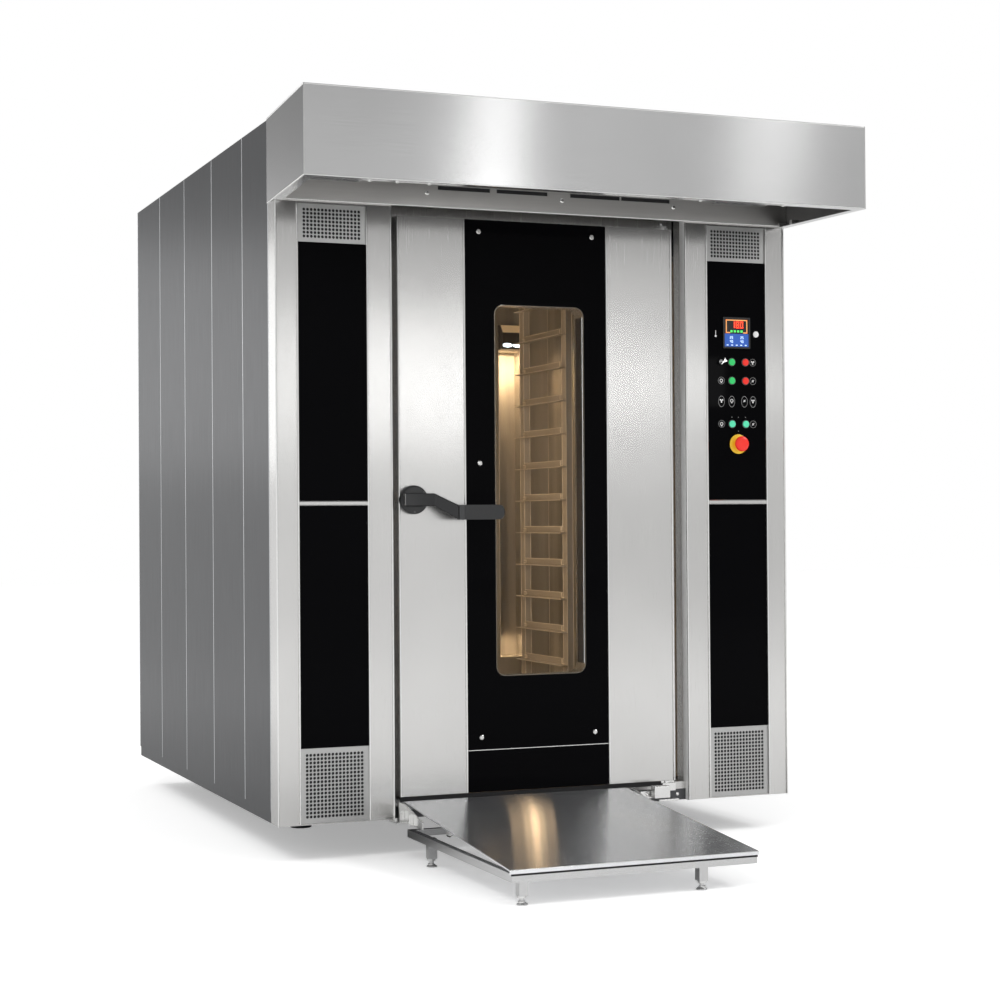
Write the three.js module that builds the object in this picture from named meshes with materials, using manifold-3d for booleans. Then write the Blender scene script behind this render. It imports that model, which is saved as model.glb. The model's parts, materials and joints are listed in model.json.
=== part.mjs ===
// A rotating rack oven: a panelled steel body with a windowed swing door, two front columns of
// black glass and perforated grilles, a canopy hood, a turning rack on a turntable and a loading ramp.
// Millimetres. +Z is up, the front faces -Y, and +X is to the right of someone facing the oven.
// While it is built, X = 0 is the oven's middle plane, Y = 0 the face of its columns, Z = 0 the floor.
import * as THREE from "three";
import { mergeVertices } from "three/addons/utils/BufferGeometryUtils.js";
import Module from "manifold-3d";

const wasm = await Module();
wasm.setup();

// ---- Clearances ----
const GAP = 0.3; // between pieces that touch
const RUN_GAP = 0.5; // between a pin and its bore
const SLIDE_GAP = 0.6; // round a push button
const SHEET = 3; // folded steel sheet
const ROD_SIDES = 16;

// ---- Body ----
const BODY_W = 1960;
const BODY_D = 2250;
const BODY_H = 2396; // from the bottom of the base to the roof
const FOOT_H = 125; // from the floor to the bottom of the base
const BASE_H = 40;
const PANEL_T = 60; // an insulated cassette
const PANEL_BEVEL = 3;
const PANELS_PER_SIDE = 5;
const SHEET_JOINTS = 3; // grooves across the rear panel and the roof
const TRIM_D = 85; // side return of a front column
const FIRST_PANEL_D = 345;
const FOOT_R = 40;
const FOOT_STEM_R = 12;
const FOOT_PAD_H = 9;
const FOOT_EDGE_SHARE = 0.6; // upright part of a foot's pad
const FOOT_TOP_SHARE = 0.8; // radius of the top of the pad
const FOOT_SHOULDER_H = 5; // slope from the pad to the stem
const FOOT_SIDES = 10;
const FOOT_INSET_X = 300;
const FOOT_FRONT_Y = 760;
const FOOT_REAR_INSET = 350;

// ---- Front columns ----
const COLUMN_W = 414;
const COLUMN_RETURN_D = 95; // return at the doorway
const JAMB_Y = 47; // the return steps away from the doorway here
const JAMB_STEP = 3;
const BAY_INSET = 80; // from the outer edge of a column to its bay
const BAY_W = 243;
const BAY_RETURN_D = 26;
const BAY_TOP_Z = 2104; // heights are from the bottom of the base
const GRILLE_TOP_H = 130;
const GRILLE_BOTTOM_H = 258;
const BAY_LIP = 4; // folded sheet along the bottom and the top of a bay
const DIVIDER_Z = 1087;
const DIVIDER_H = 16;
const DIVIDER_PROUD = 5;
const BAY_RECESS = 3; // glass and grilles lie this far behind the face
const GLASS_T = 6;
const GRILLE_T = 4;
const PERFORATION_W = 200;
const PERFORATION_MARGIN = 19; // from the edge of a grille to its first row
const HOLE_R = 9;
const HOLE_PITCH = 36;
const HOLE_SEGMENTS = 3; // half of the sides of a hole

// ---- Control panel, heights from the bottom of the base ----
const BUTTON_R = 12.5;
const BUTTON_EDGE = 1.5; // bevel round its face
const BUTTON_SIDES = 12;
const BEZEL_R = 14.7;
const BEZEL_T = 2.5;
const BUTTON_PROUD = 4; // of its bezel
const BUTTON_FLANGE = 2.5; // wider part behind the glass
const BUTTON_LEFT_X = -19; // from the middle of the bay
const BUTTON_RIGHT_X = 38;
const BUTTON_ROW_1_Z = 1604;
const BUTTON_ROW_2_Z = 1535;
const BUTTON_ROW_4_Z = 1375;
const KEY_X = -62;
const KEY_BODY_R = 9;
const KEY_BOW_W = 7;
const KEY_BOW_H = 24;
const KEY_BOW_D = 20;
const KEY_BOW_R = 3.3;
const KEY_CASE_D = 20; // behind the glass
const ESTOP_X = 7;
const ESTOP_Z = 1301;
const ESTOP_HEAD_R = 28;
const ESTOP_CROWN_R = 17; // flat middle of its domed head
const ESTOP_SHOULDER_R = 26;
const ESTOP_SHOULDER_D = 5; // from the top of the head to its shoulder
const ESTOP_RIM_D = 11;
const ESTOP_CASE_D = 14;
const ESTOP_HEAD_T = 15;
const ESTOP_NECK_R = 15;
const ESTOP_NECK_L = 18;
const ESTOP_TRAVEL = 6;
const DISPLAY_X = 2;
const DISPLAY_Z = 1712;
const DISPLAY_W = 113;
const DISPLAY_H = 115;
const DISPLAY_FRAME = 6;
const DISPLAY_PROUD = 4;
const DISPLAY_DEPTH = 45; // of its case behind the glass
const DISPLAY_SINK = 2; // the screen lies this far inside its frame
const DISPLAY_R = 3;

// ---- Hood ----
const HOOD_REACH = 500; // in front of the columns
const HOOD_FLARE = 43; // past each side of the body at the front; at the rear the hood lies against it
const HOOD_H = 290;
const HOOD_FLANGE = 35;
const BAFFLE_STANDOFF = 12;
const BAFFLE_SLOT_H = 14;
const BAFFLE_SLOT_W = 195;
const BAFFLE_SLOT_PLACES = [-300, -80, 203, 404]; // two pairs, with a bolt between them
const BAFFLE_SLOT_Z = 62; // above its lower edge

// ---- Door ----
const DOOR_LEFT_GAP = 21;
const DOOR_RIGHT_GAP = 56;
const DOOR_BOTTOM_Z = 76;
const DOOR_TOP_Z = 2080;
const DOOR_T = 90;
const DOOR_BEVEL = 2;
const LEFT_STILE_W = 249;
const RIGHT_STILE_W = 264;
const WINDOW_LEFT = 110; // from the left edge of the door glass to the window
const WINDOW_RIGHT = 87; // from the window to the right edge of the glass
const WINDOW_BOTTOM_Z = 478;
const WINDOW_H = 1306;
const WINDOW_R = 34;
const INNER_PANE_LAP = 14;
const GLASS_JOINT_Z = 222; // the lower part of the door glass ends here
const GLASS_JOINT = 2;
const STUD_R = 9;
const STUD_SHANK_R = 5;
const STUD_PROUD = 4;
const STUD_FACE_R = 6.3;
const STUD_SIDES = 8;
const STUD_INSET_X = 53;
const STUD_INSET_Z = 42;
const STUD_MIDDLE_Z = 1226;
const STUD_BOTTOM_Z = 266;
const GASKET_T = 8;
const GASKET_W = 22;
const GASKET_INSET = 30;
const GASKET_R = 40;
const GASKET_BOTTOM = 8; // above the lower edge of the door
const FRAME_W = 76; // how far the door frame reaches into the doorway
const FRAME_T = 58;
const FRAME_CLEAR = 1; // from the seal to the frame
const SILL_Y = 22;
const SILL_H = 26; // of the threshold above the base
const HEADER_RISE = 70; // of the plate over the door, above its top

// ---- Door hinges ----
const HINGE_INSET = 29; // from the right edge of the door to the pivot line
const HINGE_SETBACK = 22; // from the door's face to the pivot line
const PIN_R = 8;
const PIN_L = 30;
const PIN_ROOM = 2; // past the end of a pin in its bore
const PIN_STUB = 12; // of the top pin above its bracket
const WASHER_R = 27;
const WASHER_H = 4;
const HINGE_PLATE_T = 9;
const HINGE_PLATE_W = 52;
const HINGE_BLOCK_H = 26;

// ---- Handle ----
const HANDLE_X = 50; // from the left edge of the door
const HANDLE_Z = 1098;
const ROSETTE_R = 50;
const ROSETTE_T = 26;
const ROSETTE_EDGE = 2; // bevel round its face
const ROSETTE_SIDES = 28;
const HANDLE_SHAFT_R = 11;
const HANDLE_SHAFT_L = 55;
const LEVER_H = 44;
const LEVER_T = 26;
const LEVER_BEVEL = 3;
const CRANK_T = 16;
const GRIP_H = 51;
const GRIP_T = 24;
const LEVER_STANDOFF = 41; // from the door face to the middle of the first stretch
const GRIP_STANDOFF = 82;
const LEVER_BACK_L = 42; // behind the shaft
const LEVER_FLAT_L = 64;
const CRANK_L = 77;
const GRIP_L = 166;
const GRIP_DROP = 44;
const GRIP_COLLAR_L = 16; // where the crank widens into the grip
const GRIP_TIP_L = 12;
const GRIP_TIP_SHARE = 0.6; // of the grip's height and thickness at its very end

// ---- Chamber ----
const CHAMBER_HALF_W = 620;
const HEATER_ROOM_D = 860; // from the chamber to the rear of the body
const CHAMBER_TOP_Z = 1985;
const CHAMBER_WALL_T = 22;
const CHAMBER_FLOOR_Z = 66;
const DUCT_W = 118; // air duct in the rear wall
const DUCT_X = 449; // its middle
const DUCT_BOTTOM_Z = 440;
const DUCT_TOP_Z = 1752;
const DUCT_D = 90;
const LAMP_H = 105;
const LAMP_D = 46;
const LAMP_TOP_D = 18; // the housing slopes forward from here
const LAMP_SLOPE_H = 37;
const LAMP_FOOT = [8, 12]; // depth and height of the bevel under its front
const FAN_INLET_SHARE = 0.7; // of the fan's radius, the hole in the rear wall
const LOUVRES = 12; // air slots in the left wall
const LOUVRE_L = 700;
const LOUVRE_H = 26;
const LOUVRE_PITCH = 140;
const LOUVRE_FIRST_Z = 260;

// ---- Turntable and rack ----
const RACK_FORWARD = 44; // from the middle of the chamber to the rack's axis
const TURNTABLE_R = 440;
const TURNTABLE_T = 8;
const TURNTABLE_GAP = 4;
const TURNTABLE_RIM = [12, 8]; // width and height of the rim under its edge
const TURNTABLE_SIDES = 32;
const SPINDLE_R = 34;
const RACK_W = 670;
const RACK_D = 460;
const RACK_TOP_Z = 1930;
const POST_W = 25;
const POST_D = 40;
const LEVELS = 14;
const LEVEL_PITCH = 127.4;
const FIRST_LEVEL_Z = 222;
const RUNNER_H = 27;
const RUNNER_W = 26;
const RUNNER_T = 3;
const RACK_RAIL_H = 30;
const RACK_HUB_R = 34;
const RACK_HUB_RISE = 8; // above the top frame
const DRIVE_SHAFT_R = 17;
const DRIVE_HOUSING_R = 95;
const DRIVE_HOUSING_H = 130;
const DRIVE_MOTOR_R = 60;
const DRIVE_MOTOR_L = 210;
const DRIVE_SHAFT_TOP = 40; // above the chamber's ceiling
const DRIVE_SHAFT_ROOM = 60; // depth of the bore in the gear housing
const FIN_W = 18;
const FIN_PITCH = 44;
const FIN_FIRST = 50;
const FIN_PROUD = 4;
const FINS = 3;
const MOTOR_SIDES = 12;
const SHAFT_GAP = 0.4; // round the drive shafts

// ---- Heating, behind the chamber ----
const FAN_Z = 1560;
const FAN_R = 230;
const FAN_W = 130;
const FAN_HUB_R = 48;
const FAN_BLADES = 10;
const FAN_BLADE_T = 5;
const FAN_PLATE_T = 5;
const FAN_BACK_GAP = 60; // from the rear wall to the fan
const FAN_EYE_SHARE = 0.62; // radius of the opening in the front ring
const FAN_SIDES = 20;
const FAN_HUB_L = 70;
const FAN_SHAFT_L = 40;
const BLADE_SWEEP = 0.5; // radians from the inner to the outer edge of a blade
const BLADE_LEAN = 0.2; // of a blade's thickness, along the radius
const BLADE_STEPS = [0, 0.5, 1];
const FAN_MOTOR_R = 110;
const FAN_MOTOR_L = 260;
const FAN_MOTOR_GAP = 12; // from the fan to its motor
const FAN_FIN_W = 20;
const FAN_FIN_PITCH = 55;
const FAN_FIN_FIRST = 60;
const FAN_FIN_PROUD = 8;
const FAN_BRACKET_T = 24;
const FAN_BRACKET_L = 40;
const FAN_PLATE_BACK_T = 12;
const DRUM_R = 250;
const DRUM_L = 1100;
const DRUM_Z = 520;
const DRUM_SETBACK = 30; // behind the middle of the space for the heater
const DRUM_SIDES = 20;
const SADDLE_W = 40;
const SADDLE_INSET = 120;
const SADDLE_SHARE = 0.7; // of the drum's radius
const TUBE_R = 30;
const HEADER_W = 90;
const TUBE_COUNT = 6;
const TUBE_SIDES = 10;
const TUBE_SINK = 20; // into the drum
const HEADER_H = 90;
const TUBE_BANK_H = 330;

// ---- Ramp ----
const RAMP_INSET = 22; // from the left edge of the doorway
const RAMP_W = 843;
const RAMP_FRONT = 990; // in front of the columns
const RAMP_REAR = 30;
const RAMP_REAR_Z = 64;
const RAMP_FRONT_Z = -16;
const RAMP_PLATE_T = 4;
const RAMP_LIP = 12;
const RAMP_RIB_H = 26;
const RIB_T = 4;
const RIB_NEAR = 110; // in front of the columns
const RIB_SHARE = 0.6; // of the plate's length
const RIB_TAPER = 30;
const RIB_SHARES = [0.05, 0.5, 0.95]; // places of the ribs across the plate
const RAMP_HINGE_R = 6;
const RAMP_KNUCKLE_R = 11;
const RAMP_KNUCKLE_L = 40;
const KNUCKLE_WEB_T = 8;
const RAMP_PIN_SIDES = 12;
const RAMP_PIN_ROOM = 2;
const RAMP_EAR_T = 6;
const RAIL_FLANGE = 22;
const RAIL_H = 26;
const LEG_W = 30;
const LEG_BOTTOM_Z = 28; // above the floor
const LEG_INSET_LEFT = 40;
const LEG_INSET_RIGHT = 187;
const LEG_REAR_Y = 250; // in front of the columns
const SMALL_FOOT_R = 18;
const SMALL_STEM_R = 7;
const SMALL_PAD_H = 6;
const RAMP_FRAME_REAR = 50;
const RAMP_OVERHANG = 6; // of the plate past its frame

// ---- Worked out from the sizes above ----
const HALF_W = BODY_W / 2;
const BASE_Z = FOOT_H;
const BASE_TOP = BASE_Z + BASE_H;
const ROOF_Z = BASE_Z + BODY_H;
const ROOF_UNDER = ROOF_Z - PANEL_T - GAP;
const HOOD_TOP = ROOF_Z + GAP + SHEET;
const HOOD_BOTTOM = HOOD_TOP - HOOD_H;
const HOOD_BACK_Y = TRIM_D;
const INNER_X = HALF_W - PANEL_T - GAP;
const REAR_INNER_Y = BODY_D - PANEL_T - GAP;
const DOORWAY_HALF = HALF_W - COLUMN_W;
const BAY_X = HALF_W - BAY_INSET - BAY_W / 2;
const BAY_BOTTOM = BASE_Z;
const BAY_TOP = BASE_Z + BAY_TOP_Z;
const DIVIDER_BOTTOM = BASE_Z + DIVIDER_Z - DIVIDER_H / 2;
const DIVIDER_TOP = DIVIDER_BOTTOM + DIVIDER_H;
const BAY_FACE_Y = BAY_RECESS + GLASS_T;
const DOOR_LEFT = -DOORWAY_HALF + DOOR_LEFT_GAP;
const DOOR_RIGHT = DOORWAY_HALF - DOOR_RIGHT_GAP;
const DOOR_BOTTOM = BASE_Z + DOOR_BOTTOM_Z;
const DOOR_TOP = BASE_Z + DOOR_TOP_Z;
const GLASS_LEFT = DOOR_LEFT + LEFT_STILE_W;
const GLASS_RIGHT = DOOR_RIGHT - RIGHT_STILE_W;
const WINDOW_W = GLASS_RIGHT - GLASS_LEFT - WINDOW_LEFT - WINDOW_RIGHT;
const WINDOW_X = GLASS_LEFT + WINDOW_LEFT + WINDOW_W / 2;
const WINDOW_Z = BASE_Z + WINDOW_BOTTOM_Z + WINDOW_H / 2;
const PIVOT_X = DOOR_RIGHT - HINGE_INSET;
const PIVOT_Y = HINGE_SETBACK;
const SEAL_Y = DOOR_T + GAP;
const FRAME_Y = SEAL_Y + GASKET_T + FRAME_CLEAR;
const FRAME_BACK_Y = FRAME_Y + FRAME_T;
const CHAMBER_FRONT_Y = FRAME_BACK_Y + GAP;
const CHAMBER_TOP = BASE_Z + CHAMBER_TOP_Z;
const CHAMBER_FLOOR = BASE_Z + CHAMBER_FLOOR_Z;
const WALL_BOTTOM = BASE_TOP + GAP;
const SILL_TOP = WALL_BOTTOM + SILL_H;
const CHAMBER_BACK_Y = BODY_D - HEATER_ROOM_D;
const RACK_Y = (CHAMBER_FRONT_Y + CHAMBER_BACK_Y) / 2 - RACK_FORWARD;
const HANDLE_PIVOT_X = DOOR_LEFT + HANDLE_X;
const HANDLE_PIVOT_Z = BASE_Z + HANDLE_Z;
const RACK_BOTTOM = CHAMBER_FLOOR + GAP;
const RACK_TOP = BASE_Z + RACK_TOP_Z;
const RAMP_LEFT = -DOORWAY_HALF + RAMP_INSET;
const RAMP_X = RAMP_LEFT + RAMP_W / 2;
const RAMP_HINGE_Y = -RAMP_REAR - RAMP_KNUCKLE_R;
const RAMP_HINGE_Z = BASE_Z + RAMP_REAR_Z - RAMP_PLATE_T - RAMP_KNUCKLE_R;
const RAIL_TOP = BASE_Z + RAMP_FRONT_Z - RAMP_LIP - GAP;

// ---- Finishes ----
function steel(colour, roughness) {
  return new THREE.MeshStandardMaterial({ color: colour, roughness, metalness: 1 });
}
function plain(colour, roughness) {
  return new THREE.MeshStandardMaterial({ color: colour, roughness, metalness: 0 });
}
const BRUSHED = steel(0xb9b8b4, 0.32);
const SIDE_STEEL = steel(0x8b8d90, 0.4);
const CHAMBER_STEEL = steel(0xa89c88, 0.35);
const CAST = steel(0x6f7275, 0.6);
const BLACK_GLASS = plain(0x060607, 0.06);
const CLEAR_GLASS = new THREE.MeshStandardMaterial({
  color: 0xe9eef0,
  roughness: 0.05,
  metalness: 0,
  transparent: true,
  opacity: 0.3,
});
const BLACK_PLASTIC = plain(0x1a1b1d, 0.45);
const SEAL = plain(0x2c2a28, 0.8);
const GREEN = plain(0x18a558, 0.35);
const TEAL = plain(0x35c79a, 0.35);
const RED = plain(0xd8201c, 0.35);
const LAMP_GLASS = plain(0xfff0c8, 0.3);

// ---- Shape helpers ----
// A closed geometry as a solid that can be joined and cut.
function solid(geometry) {
  const bare = geometry.index ? geometry.toNonIndexed() : geometry.clone();
  const positions = new THREE.BufferGeometry();
  positions.setAttribute("position", bare.getAttribute("position"));
  const merged = mergeVertices(positions, 1e-4);
  return new wasm.Manifold(
    new wasm.Mesh({
      numProp: 3,
      vertProperties: merged.attributes.position.array,
      triVerts: new Uint32Array(merged.index.array),
    }),
  );
}

function join(...solids) {
  return solids.reduce((all, one) => all.add(one));
}

function cut(body, ...tools) {
  return tools.reduce((left, tool) => left.subtract(tool), body);
}

function piece(name, shape, material) {
  const found = shape.getMesh();
  const geometry = new THREE.BufferGeometry();
  geometry.setAttribute("position", new THREE.BufferAttribute(found.vertProperties, 3));
  geometry.setIndex(new THREE.BufferAttribute(found.triVerts, 1));
  geometry.computeVertexNormals();
  const mesh = new THREE.Mesh(geometry, material);
  mesh.name = name;
  return mesh;
}

function box(x0, x1, y0, y1, z0, z1) {
  const geometry = new THREE.BoxGeometry(x1 - x0, y1 - y0, z1 - z0);
  return solid(geometry.translate((x0 + x1) / 2, (y0 + y1) / 2, (z0 + z1) / 2));
}

function outline(points) {
  return new THREE.Shape(points.map(([u, v]) => new THREE.Vector2(u, v)));
}

// An outline from the points of its right half, mirrored across the middle plane.
function mirrored(half) {
  return outline([...half, ...half.map(([x, y]) => [-x, y]).reverse()]);
}

function extrude(shape, depth, segments = 6) {
  return new THREE.ExtrudeGeometry(shape, { depth, bevelEnabled: false, curveSegments: segments });
}

// An outline in X and Y, stretched from z0 up to z1.
function prismZ(shape, z0, z1, segments) {
  return solid(extrude(shape, z1 - z0, segments).translate(0, 0, z0));
}

// An outline in Y and Z, stretched from x0 to x1.
function prismX(shape, x0, x1, segments) {
  const turn = new THREE.Matrix4().makeBasis(
    new THREE.Vector3(0, 1, 0),
    new THREE.Vector3(0, 0, 1),
    new THREE.Vector3(1, 0, 0),
  );
  return solid(extrude(shape, x1 - x0, segments).applyMatrix4(turn).translate(x0, 0, 0));
}

// An outline in X and Z, stretched from y0 back to y1.
function prismY(shape, y0, y1, segments) {
  const turn = new THREE.Matrix4().makeBasis(
    new THREE.Vector3(1, 0, 0),
    new THREE.Vector3(0, 0, 1),
    new THREE.Vector3(0, -1, 0),
  );
  return solid(extrude(shape, y1 - y0, segments).applyMatrix4(turn).translate(0, y1, 0));
}

// A turned form about a vertical line: its profile is pairs of radius and height.
function turned(profile, x, y, sides = 24) {
  const points = profile.map(([r, z]) => new THREE.Vector2(r, z));
  const geometry = new THREE.LatheGeometry(points, sides).rotateX(Math.PI / 2);
  return solid(geometry.translate(x, y, 0));
}

// A turned form about a line along Y: its profile is pairs of radius and depth from y.
function turnedY(profile, x, y, z, sides = 24) {
  const points = profile.map(([r, d]) => new THREE.Vector2(r, d));
  return solid(new THREE.LatheGeometry(points, sides).translate(x, y, z));
}

function rodZ(x, y, r, z0, z1, sides = ROD_SIDES) {
  const geometry = new THREE.CylinderGeometry(r, r, z1 - z0, sides).rotateX(Math.PI / 2);
  return solid(geometry.translate(x, y, (z0 + z1) / 2));
}

function rodY(x, z, r, y0, y1, sides = ROD_SIDES) {
  const geometry = new THREE.CylinderGeometry(r, r, y1 - y0, sides);
  return solid(geometry.translate(x, (y0 + y1) / 2, z));
}

function rodX(y, z, r, x0, x1, sides = ROD_SIDES) {
  const geometry = new THREE.CylinderGeometry(r, r, x1 - x0, sides).rotateZ(Math.PI / 2);
  return solid(geometry.translate((x0 + x1) / 2, y, z));
}

// A faceted bore that clears a faceted pin of radius r at every angle.
function boreRadius(r, clearance, sides) {
  return (r + clearance) / Math.cos(Math.PI / sides);
}

function roundedRectangle(x, z, w, h, r) {
  const shape = new THREE.Shape();
  shape.absarc(x + w / 2 - r, z - h / 2 + r, r, -Math.PI / 2, 0);
  shape.absarc(x + w / 2 - r, z + h / 2 - r, r, 0, Math.PI / 2);
  shape.absarc(x - w / 2 + r, z + h / 2 - r, r, Math.PI / 2, Math.PI);
  shape.absarc(x - w / 2 + r, z - h / 2 + r, r, Math.PI, Math.PI * 1.5);
  return shape;
}

// ---- Body ----
function footAt(x, y, padR, stemR, padH, top) {
  const profile = [
    [0, 0],
    [padR, 0],
    [padR, padH * FOOT_EDGE_SHARE],
    [padR * FOOT_TOP_SHARE, padH],
    [stemR, padH + FOOT_SHOULDER_H],
    [stemR, top],
    [0, top],
  ];
  return turned(profile, x, y, FOOT_SIDES);
}

// Ears beside the ramp plate: each is folded sheet with a foot, and holds a pin for the plate.
function rampEar(side) {
  const x = RAMP_X + (side * RAMP_W) / 2 + side * GAP;
  const [x0, x1] = side < 0 ? [x - RAMP_EAR_T, x] : [x, x + RAMP_EAR_T];
  const ear = outline([
    [SILL_Y, BASE_Z],
    [SILL_Y, BASE_TOP - SHEET],
    [RAMP_HINGE_Y + RAMP_KNUCKLE_R, RAMP_HINGE_Z + RAMP_KNUCKLE_R],
    [RAMP_HINGE_Y - RAMP_KNUCKLE_R, RAMP_HINGE_Z + RAMP_KNUCKLE_R / 2],
    [RAMP_HINGE_Y - RAMP_KNUCKLE_R, RAMP_HINGE_Z - RAMP_KNUCKLE_R],
    [RAMP_HINGE_Y, BASE_Z],
  ]);
  const pinEnd = x - side * (RAMP_KNUCKLE_L - RAMP_PIN_ROOM);
  const [p0, p1] = [Math.min(x, pinEnd), Math.max(x, pinEnd)];
  return join(prismX(ear, x0, x1), rodX(RAMP_HINGE_Y, RAMP_HINGE_Z, RAMP_HINGE_R, p0, p1, RAMP_PIN_SIDES));
}

function baseTray() {
  const edge = HALF_W - SHEET;
  const pastReturn = DOORWAY_HALF + JAMB_STEP + SHEET;
  const shape = mirrored([
    [DOORWAY_HALF - GAP, SILL_Y],
    [DOORWAY_HALF - GAP, COLUMN_RETURN_D + GAP],
    [pastReturn, COLUMN_RETURN_D + GAP],
    [pastReturn, TRIM_D + GAP],
    [edge, TRIM_D + GAP],
    [edge, BODY_D - SHEET],
  ]);
  let tray = prismZ(shape, BASE_Z, BASE_TOP);
  for (const x of [-HALF_W + FOOT_INSET_X, HALF_W - FOOT_INSET_X])
    for (const y of [FOOT_FRONT_Y, BODY_D - FOOT_REAR_INSET])
      tray = tray.add(footAt(x, y, FOOT_R, FOOT_STEM_R, FOOT_PAD_H, BASE_Z + 1));
  return join(tray, rampEar(-1), rampEar(1));
}

// The Y of the edges between the side panels, front to back.
function panelEdges() {
  const start = TRIM_D + FIRST_PANEL_D;
  const step = (BODY_D - start) / (PANELS_PER_SIDE - 1);
  return [TRIM_D, ...Array.from({ length: PANELS_PER_SIDE }, (_, i) => start + i * step)];
}

function sidePanel(side, front, back) {
  const outer = side * HALF_W;
  const inner = side * (HALF_W - PANEL_T);
  const bevelled = outer - side * PANEL_BEVEL;
  const y0 = front + GAP / 2;
  const y1 = back - GAP / 2;
  const shape = outline([
    [inner, y0],
    [bevelled, y0],
    [outer, y0 + PANEL_BEVEL],
    [outer, y1 - PANEL_BEVEL],
    [bevelled, y1],
    [inner, y1],
  ]);
  return prismZ(shape, WALL_BOTTOM, ROOF_Z);
}

// A flat sheet with grooves at even steps, like the joints between cassettes.
function groovedOutline(halfWidth, thickness, joints) {
  const points = [[-halfWidth, 0]];
  for (let i = 1; i <= joints; i++) {
    const x = -halfWidth + (2 * halfWidth * i) / (joints + 1);
    points.push([x - PANEL_BEVEL, 0], [x, PANEL_BEVEL], [x + PANEL_BEVEL, 0]);
  }
  points.push([halfWidth, 0], [halfWidth, thickness], [-halfWidth, thickness]);
  return points;
}

function rearPanel() {
  const flat = groovedOutline(INNER_X, PANEL_T, SHEET_JOINTS);
  return prismZ(outline(flat.map(([x, d]) => [x, BODY_D - d])), WALL_BOTTOM, ROOF_Z);
}

function roofPanel() {
  const flat = groovedOutline(INNER_X, PANEL_T, SHEET_JOINTS);
  return prismY(outline(flat.map(([x, d]) => [x, ROOF_Z - d])), SHEET + GAP, REAR_INNER_Y);
}

// ---- Front columns ----
// Folded sheet: the outer strip turns back along the side, the inner one along the doorway with a
// step in its return, and both have a return at the bay between them. The left glass is one pane
// behind the divider, and the right one is two panes with the divider between them.
function column(side) {
  const outer = side * HALF_W;
  const inner = side * DOORWAY_HALF;
  const bayOuter = side * (HALF_W - BAY_INSET);
  const bayInner = side * (HALF_W - BAY_INSET - BAY_W);
  const s = side * SHEET;
  const jamb = inner + side * JAMB_STEP;
  const outerStrip = outline([
    [outer, TRIM_D],
    [outer, 0],
    [bayOuter, 0],
    [bayOuter, BAY_RETURN_D],
    [bayOuter + s, BAY_RETURN_D],
    [bayOuter + s, SHEET],
    [outer - s, SHEET],
    [outer - s, TRIM_D],
  ]);
  const innerStrip = outline([
    [bayInner, BAY_RETURN_D],
    [bayInner, 0],
    [inner, 0],
    [inner, JAMB_Y],
    [jamb, JAMB_Y],
    [jamb, COLUMN_RETURN_D],
    [jamb + s, COLUMN_RETURN_D],
    [jamb + s, JAMB_Y - SHEET],
    [inner + s, JAMB_Y - SHEET],
    [inner + s, SHEET],
    [bayInner - s, SHEET],
    [bayInner - s, BAY_RETURN_D],
  ]);
  const left = Math.min(bayOuter, bayInner) - SHEET;
  const right = Math.max(bayOuter, bayInner) + SHEET;
  const dividerBack = side < 0 ? BAY_RECESS - GAP : BAY_RETURN_D;
  const divider = outline([
    [dividerBack, DIVIDER_BOTTOM],
    [-DIVIDER_PROUD + SHEET, DIVIDER_BOTTOM],
    [-DIVIDER_PROUD, DIVIDER_BOTTOM + SHEET],
    [-DIVIDER_PROUD, DIVIDER_TOP - SHEET],
    [-DIVIDER_PROUD + SHEET, DIVIDER_TOP],
    [dividerBack, DIVIDER_TOP],
  ]);
  const folded = join(
    prismZ(outerStrip, BASE_Z, ROOF_Z),
    prismZ(innerStrip, BASE_Z, ROOF_Z),
    box(left, right, 0, SHEET, BAY_TOP, ROOF_Z),
    box(left, right, 0, BAY_RETURN_D, BAY_BOTTOM, BAY_BOTTOM + BAY_LIP),
    prismX(divider, left, right),
  );
  const roofNotch = box(-INNER_X - GAP, INNER_X + GAP, SHEET, COLUMN_RETURN_D + 1, ROOF_UNDER, ROOF_Z + 1);
  return cut(folded, roofNotch);
}

// A perforated plate: rows and columns of holes centred in the bay.
function grille(x, z0, z1) {
  const shape = outline([
    [x - BAY_W / 2 + GAP, z0],
    [x + BAY_W / 2 - GAP, z0],
    [x + BAY_W / 2 - GAP, z1],
    [x - BAY_W / 2 + GAP, z1],
  ]);
  const across = Math.floor((PERFORATION_W - 2 * HOLE_R) / HOLE_PITCH) + 1;
  const up = Math.floor((z1 - z0 - 2 * PERFORATION_MARGIN - 2 * HOLE_R) / HOLE_PITCH) + 1;
  for (let i = 0; i < across; i++)
    for (let k = 0; k < up; k++) {
      const hole = new THREE.Path();
      const hx = x + (i - (across - 1) / 2) * HOLE_PITCH;
      const hz = (z0 + z1) / 2 + (k - (up - 1) / 2) * HOLE_PITCH;
      hole.absarc(hx, hz, HOLE_R, 0, Math.PI * 2, true);
      shape.holes.push(hole);
    }
  return prismY(shape, BAY_RECESS, BAY_RECESS + GRILLE_T, HOLE_SEGMENTS);
}

function topGrille(x) {
  return grille(x, BAY_TOP - GRILLE_TOP_H + GAP, BAY_TOP - GAP);
}

function bottomGrille(x) {
  return grille(x, BAY_BOTTOM + BAY_LIP + GAP, BAY_BOTTOM + GRILLE_BOTTOM_H - GAP);
}

function bayGlass(x, z0, z1) {
  return box(x - BAY_W / 2 + GAP, x + BAY_W / 2 - GAP, BAY_RECESS, BAY_FACE_Y, z0 + GAP, z1 - GAP);
}

function fullGlass(x) {
  return bayGlass(x, BAY_BOTTOM + GRILLE_BOTTOM_H, BAY_TOP - GRILLE_TOP_H);
}

function upperGlass(x) {
  return bayGlass(x, DIVIDER_TOP, BAY_TOP - GRILLE_TOP_H);
}

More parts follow.
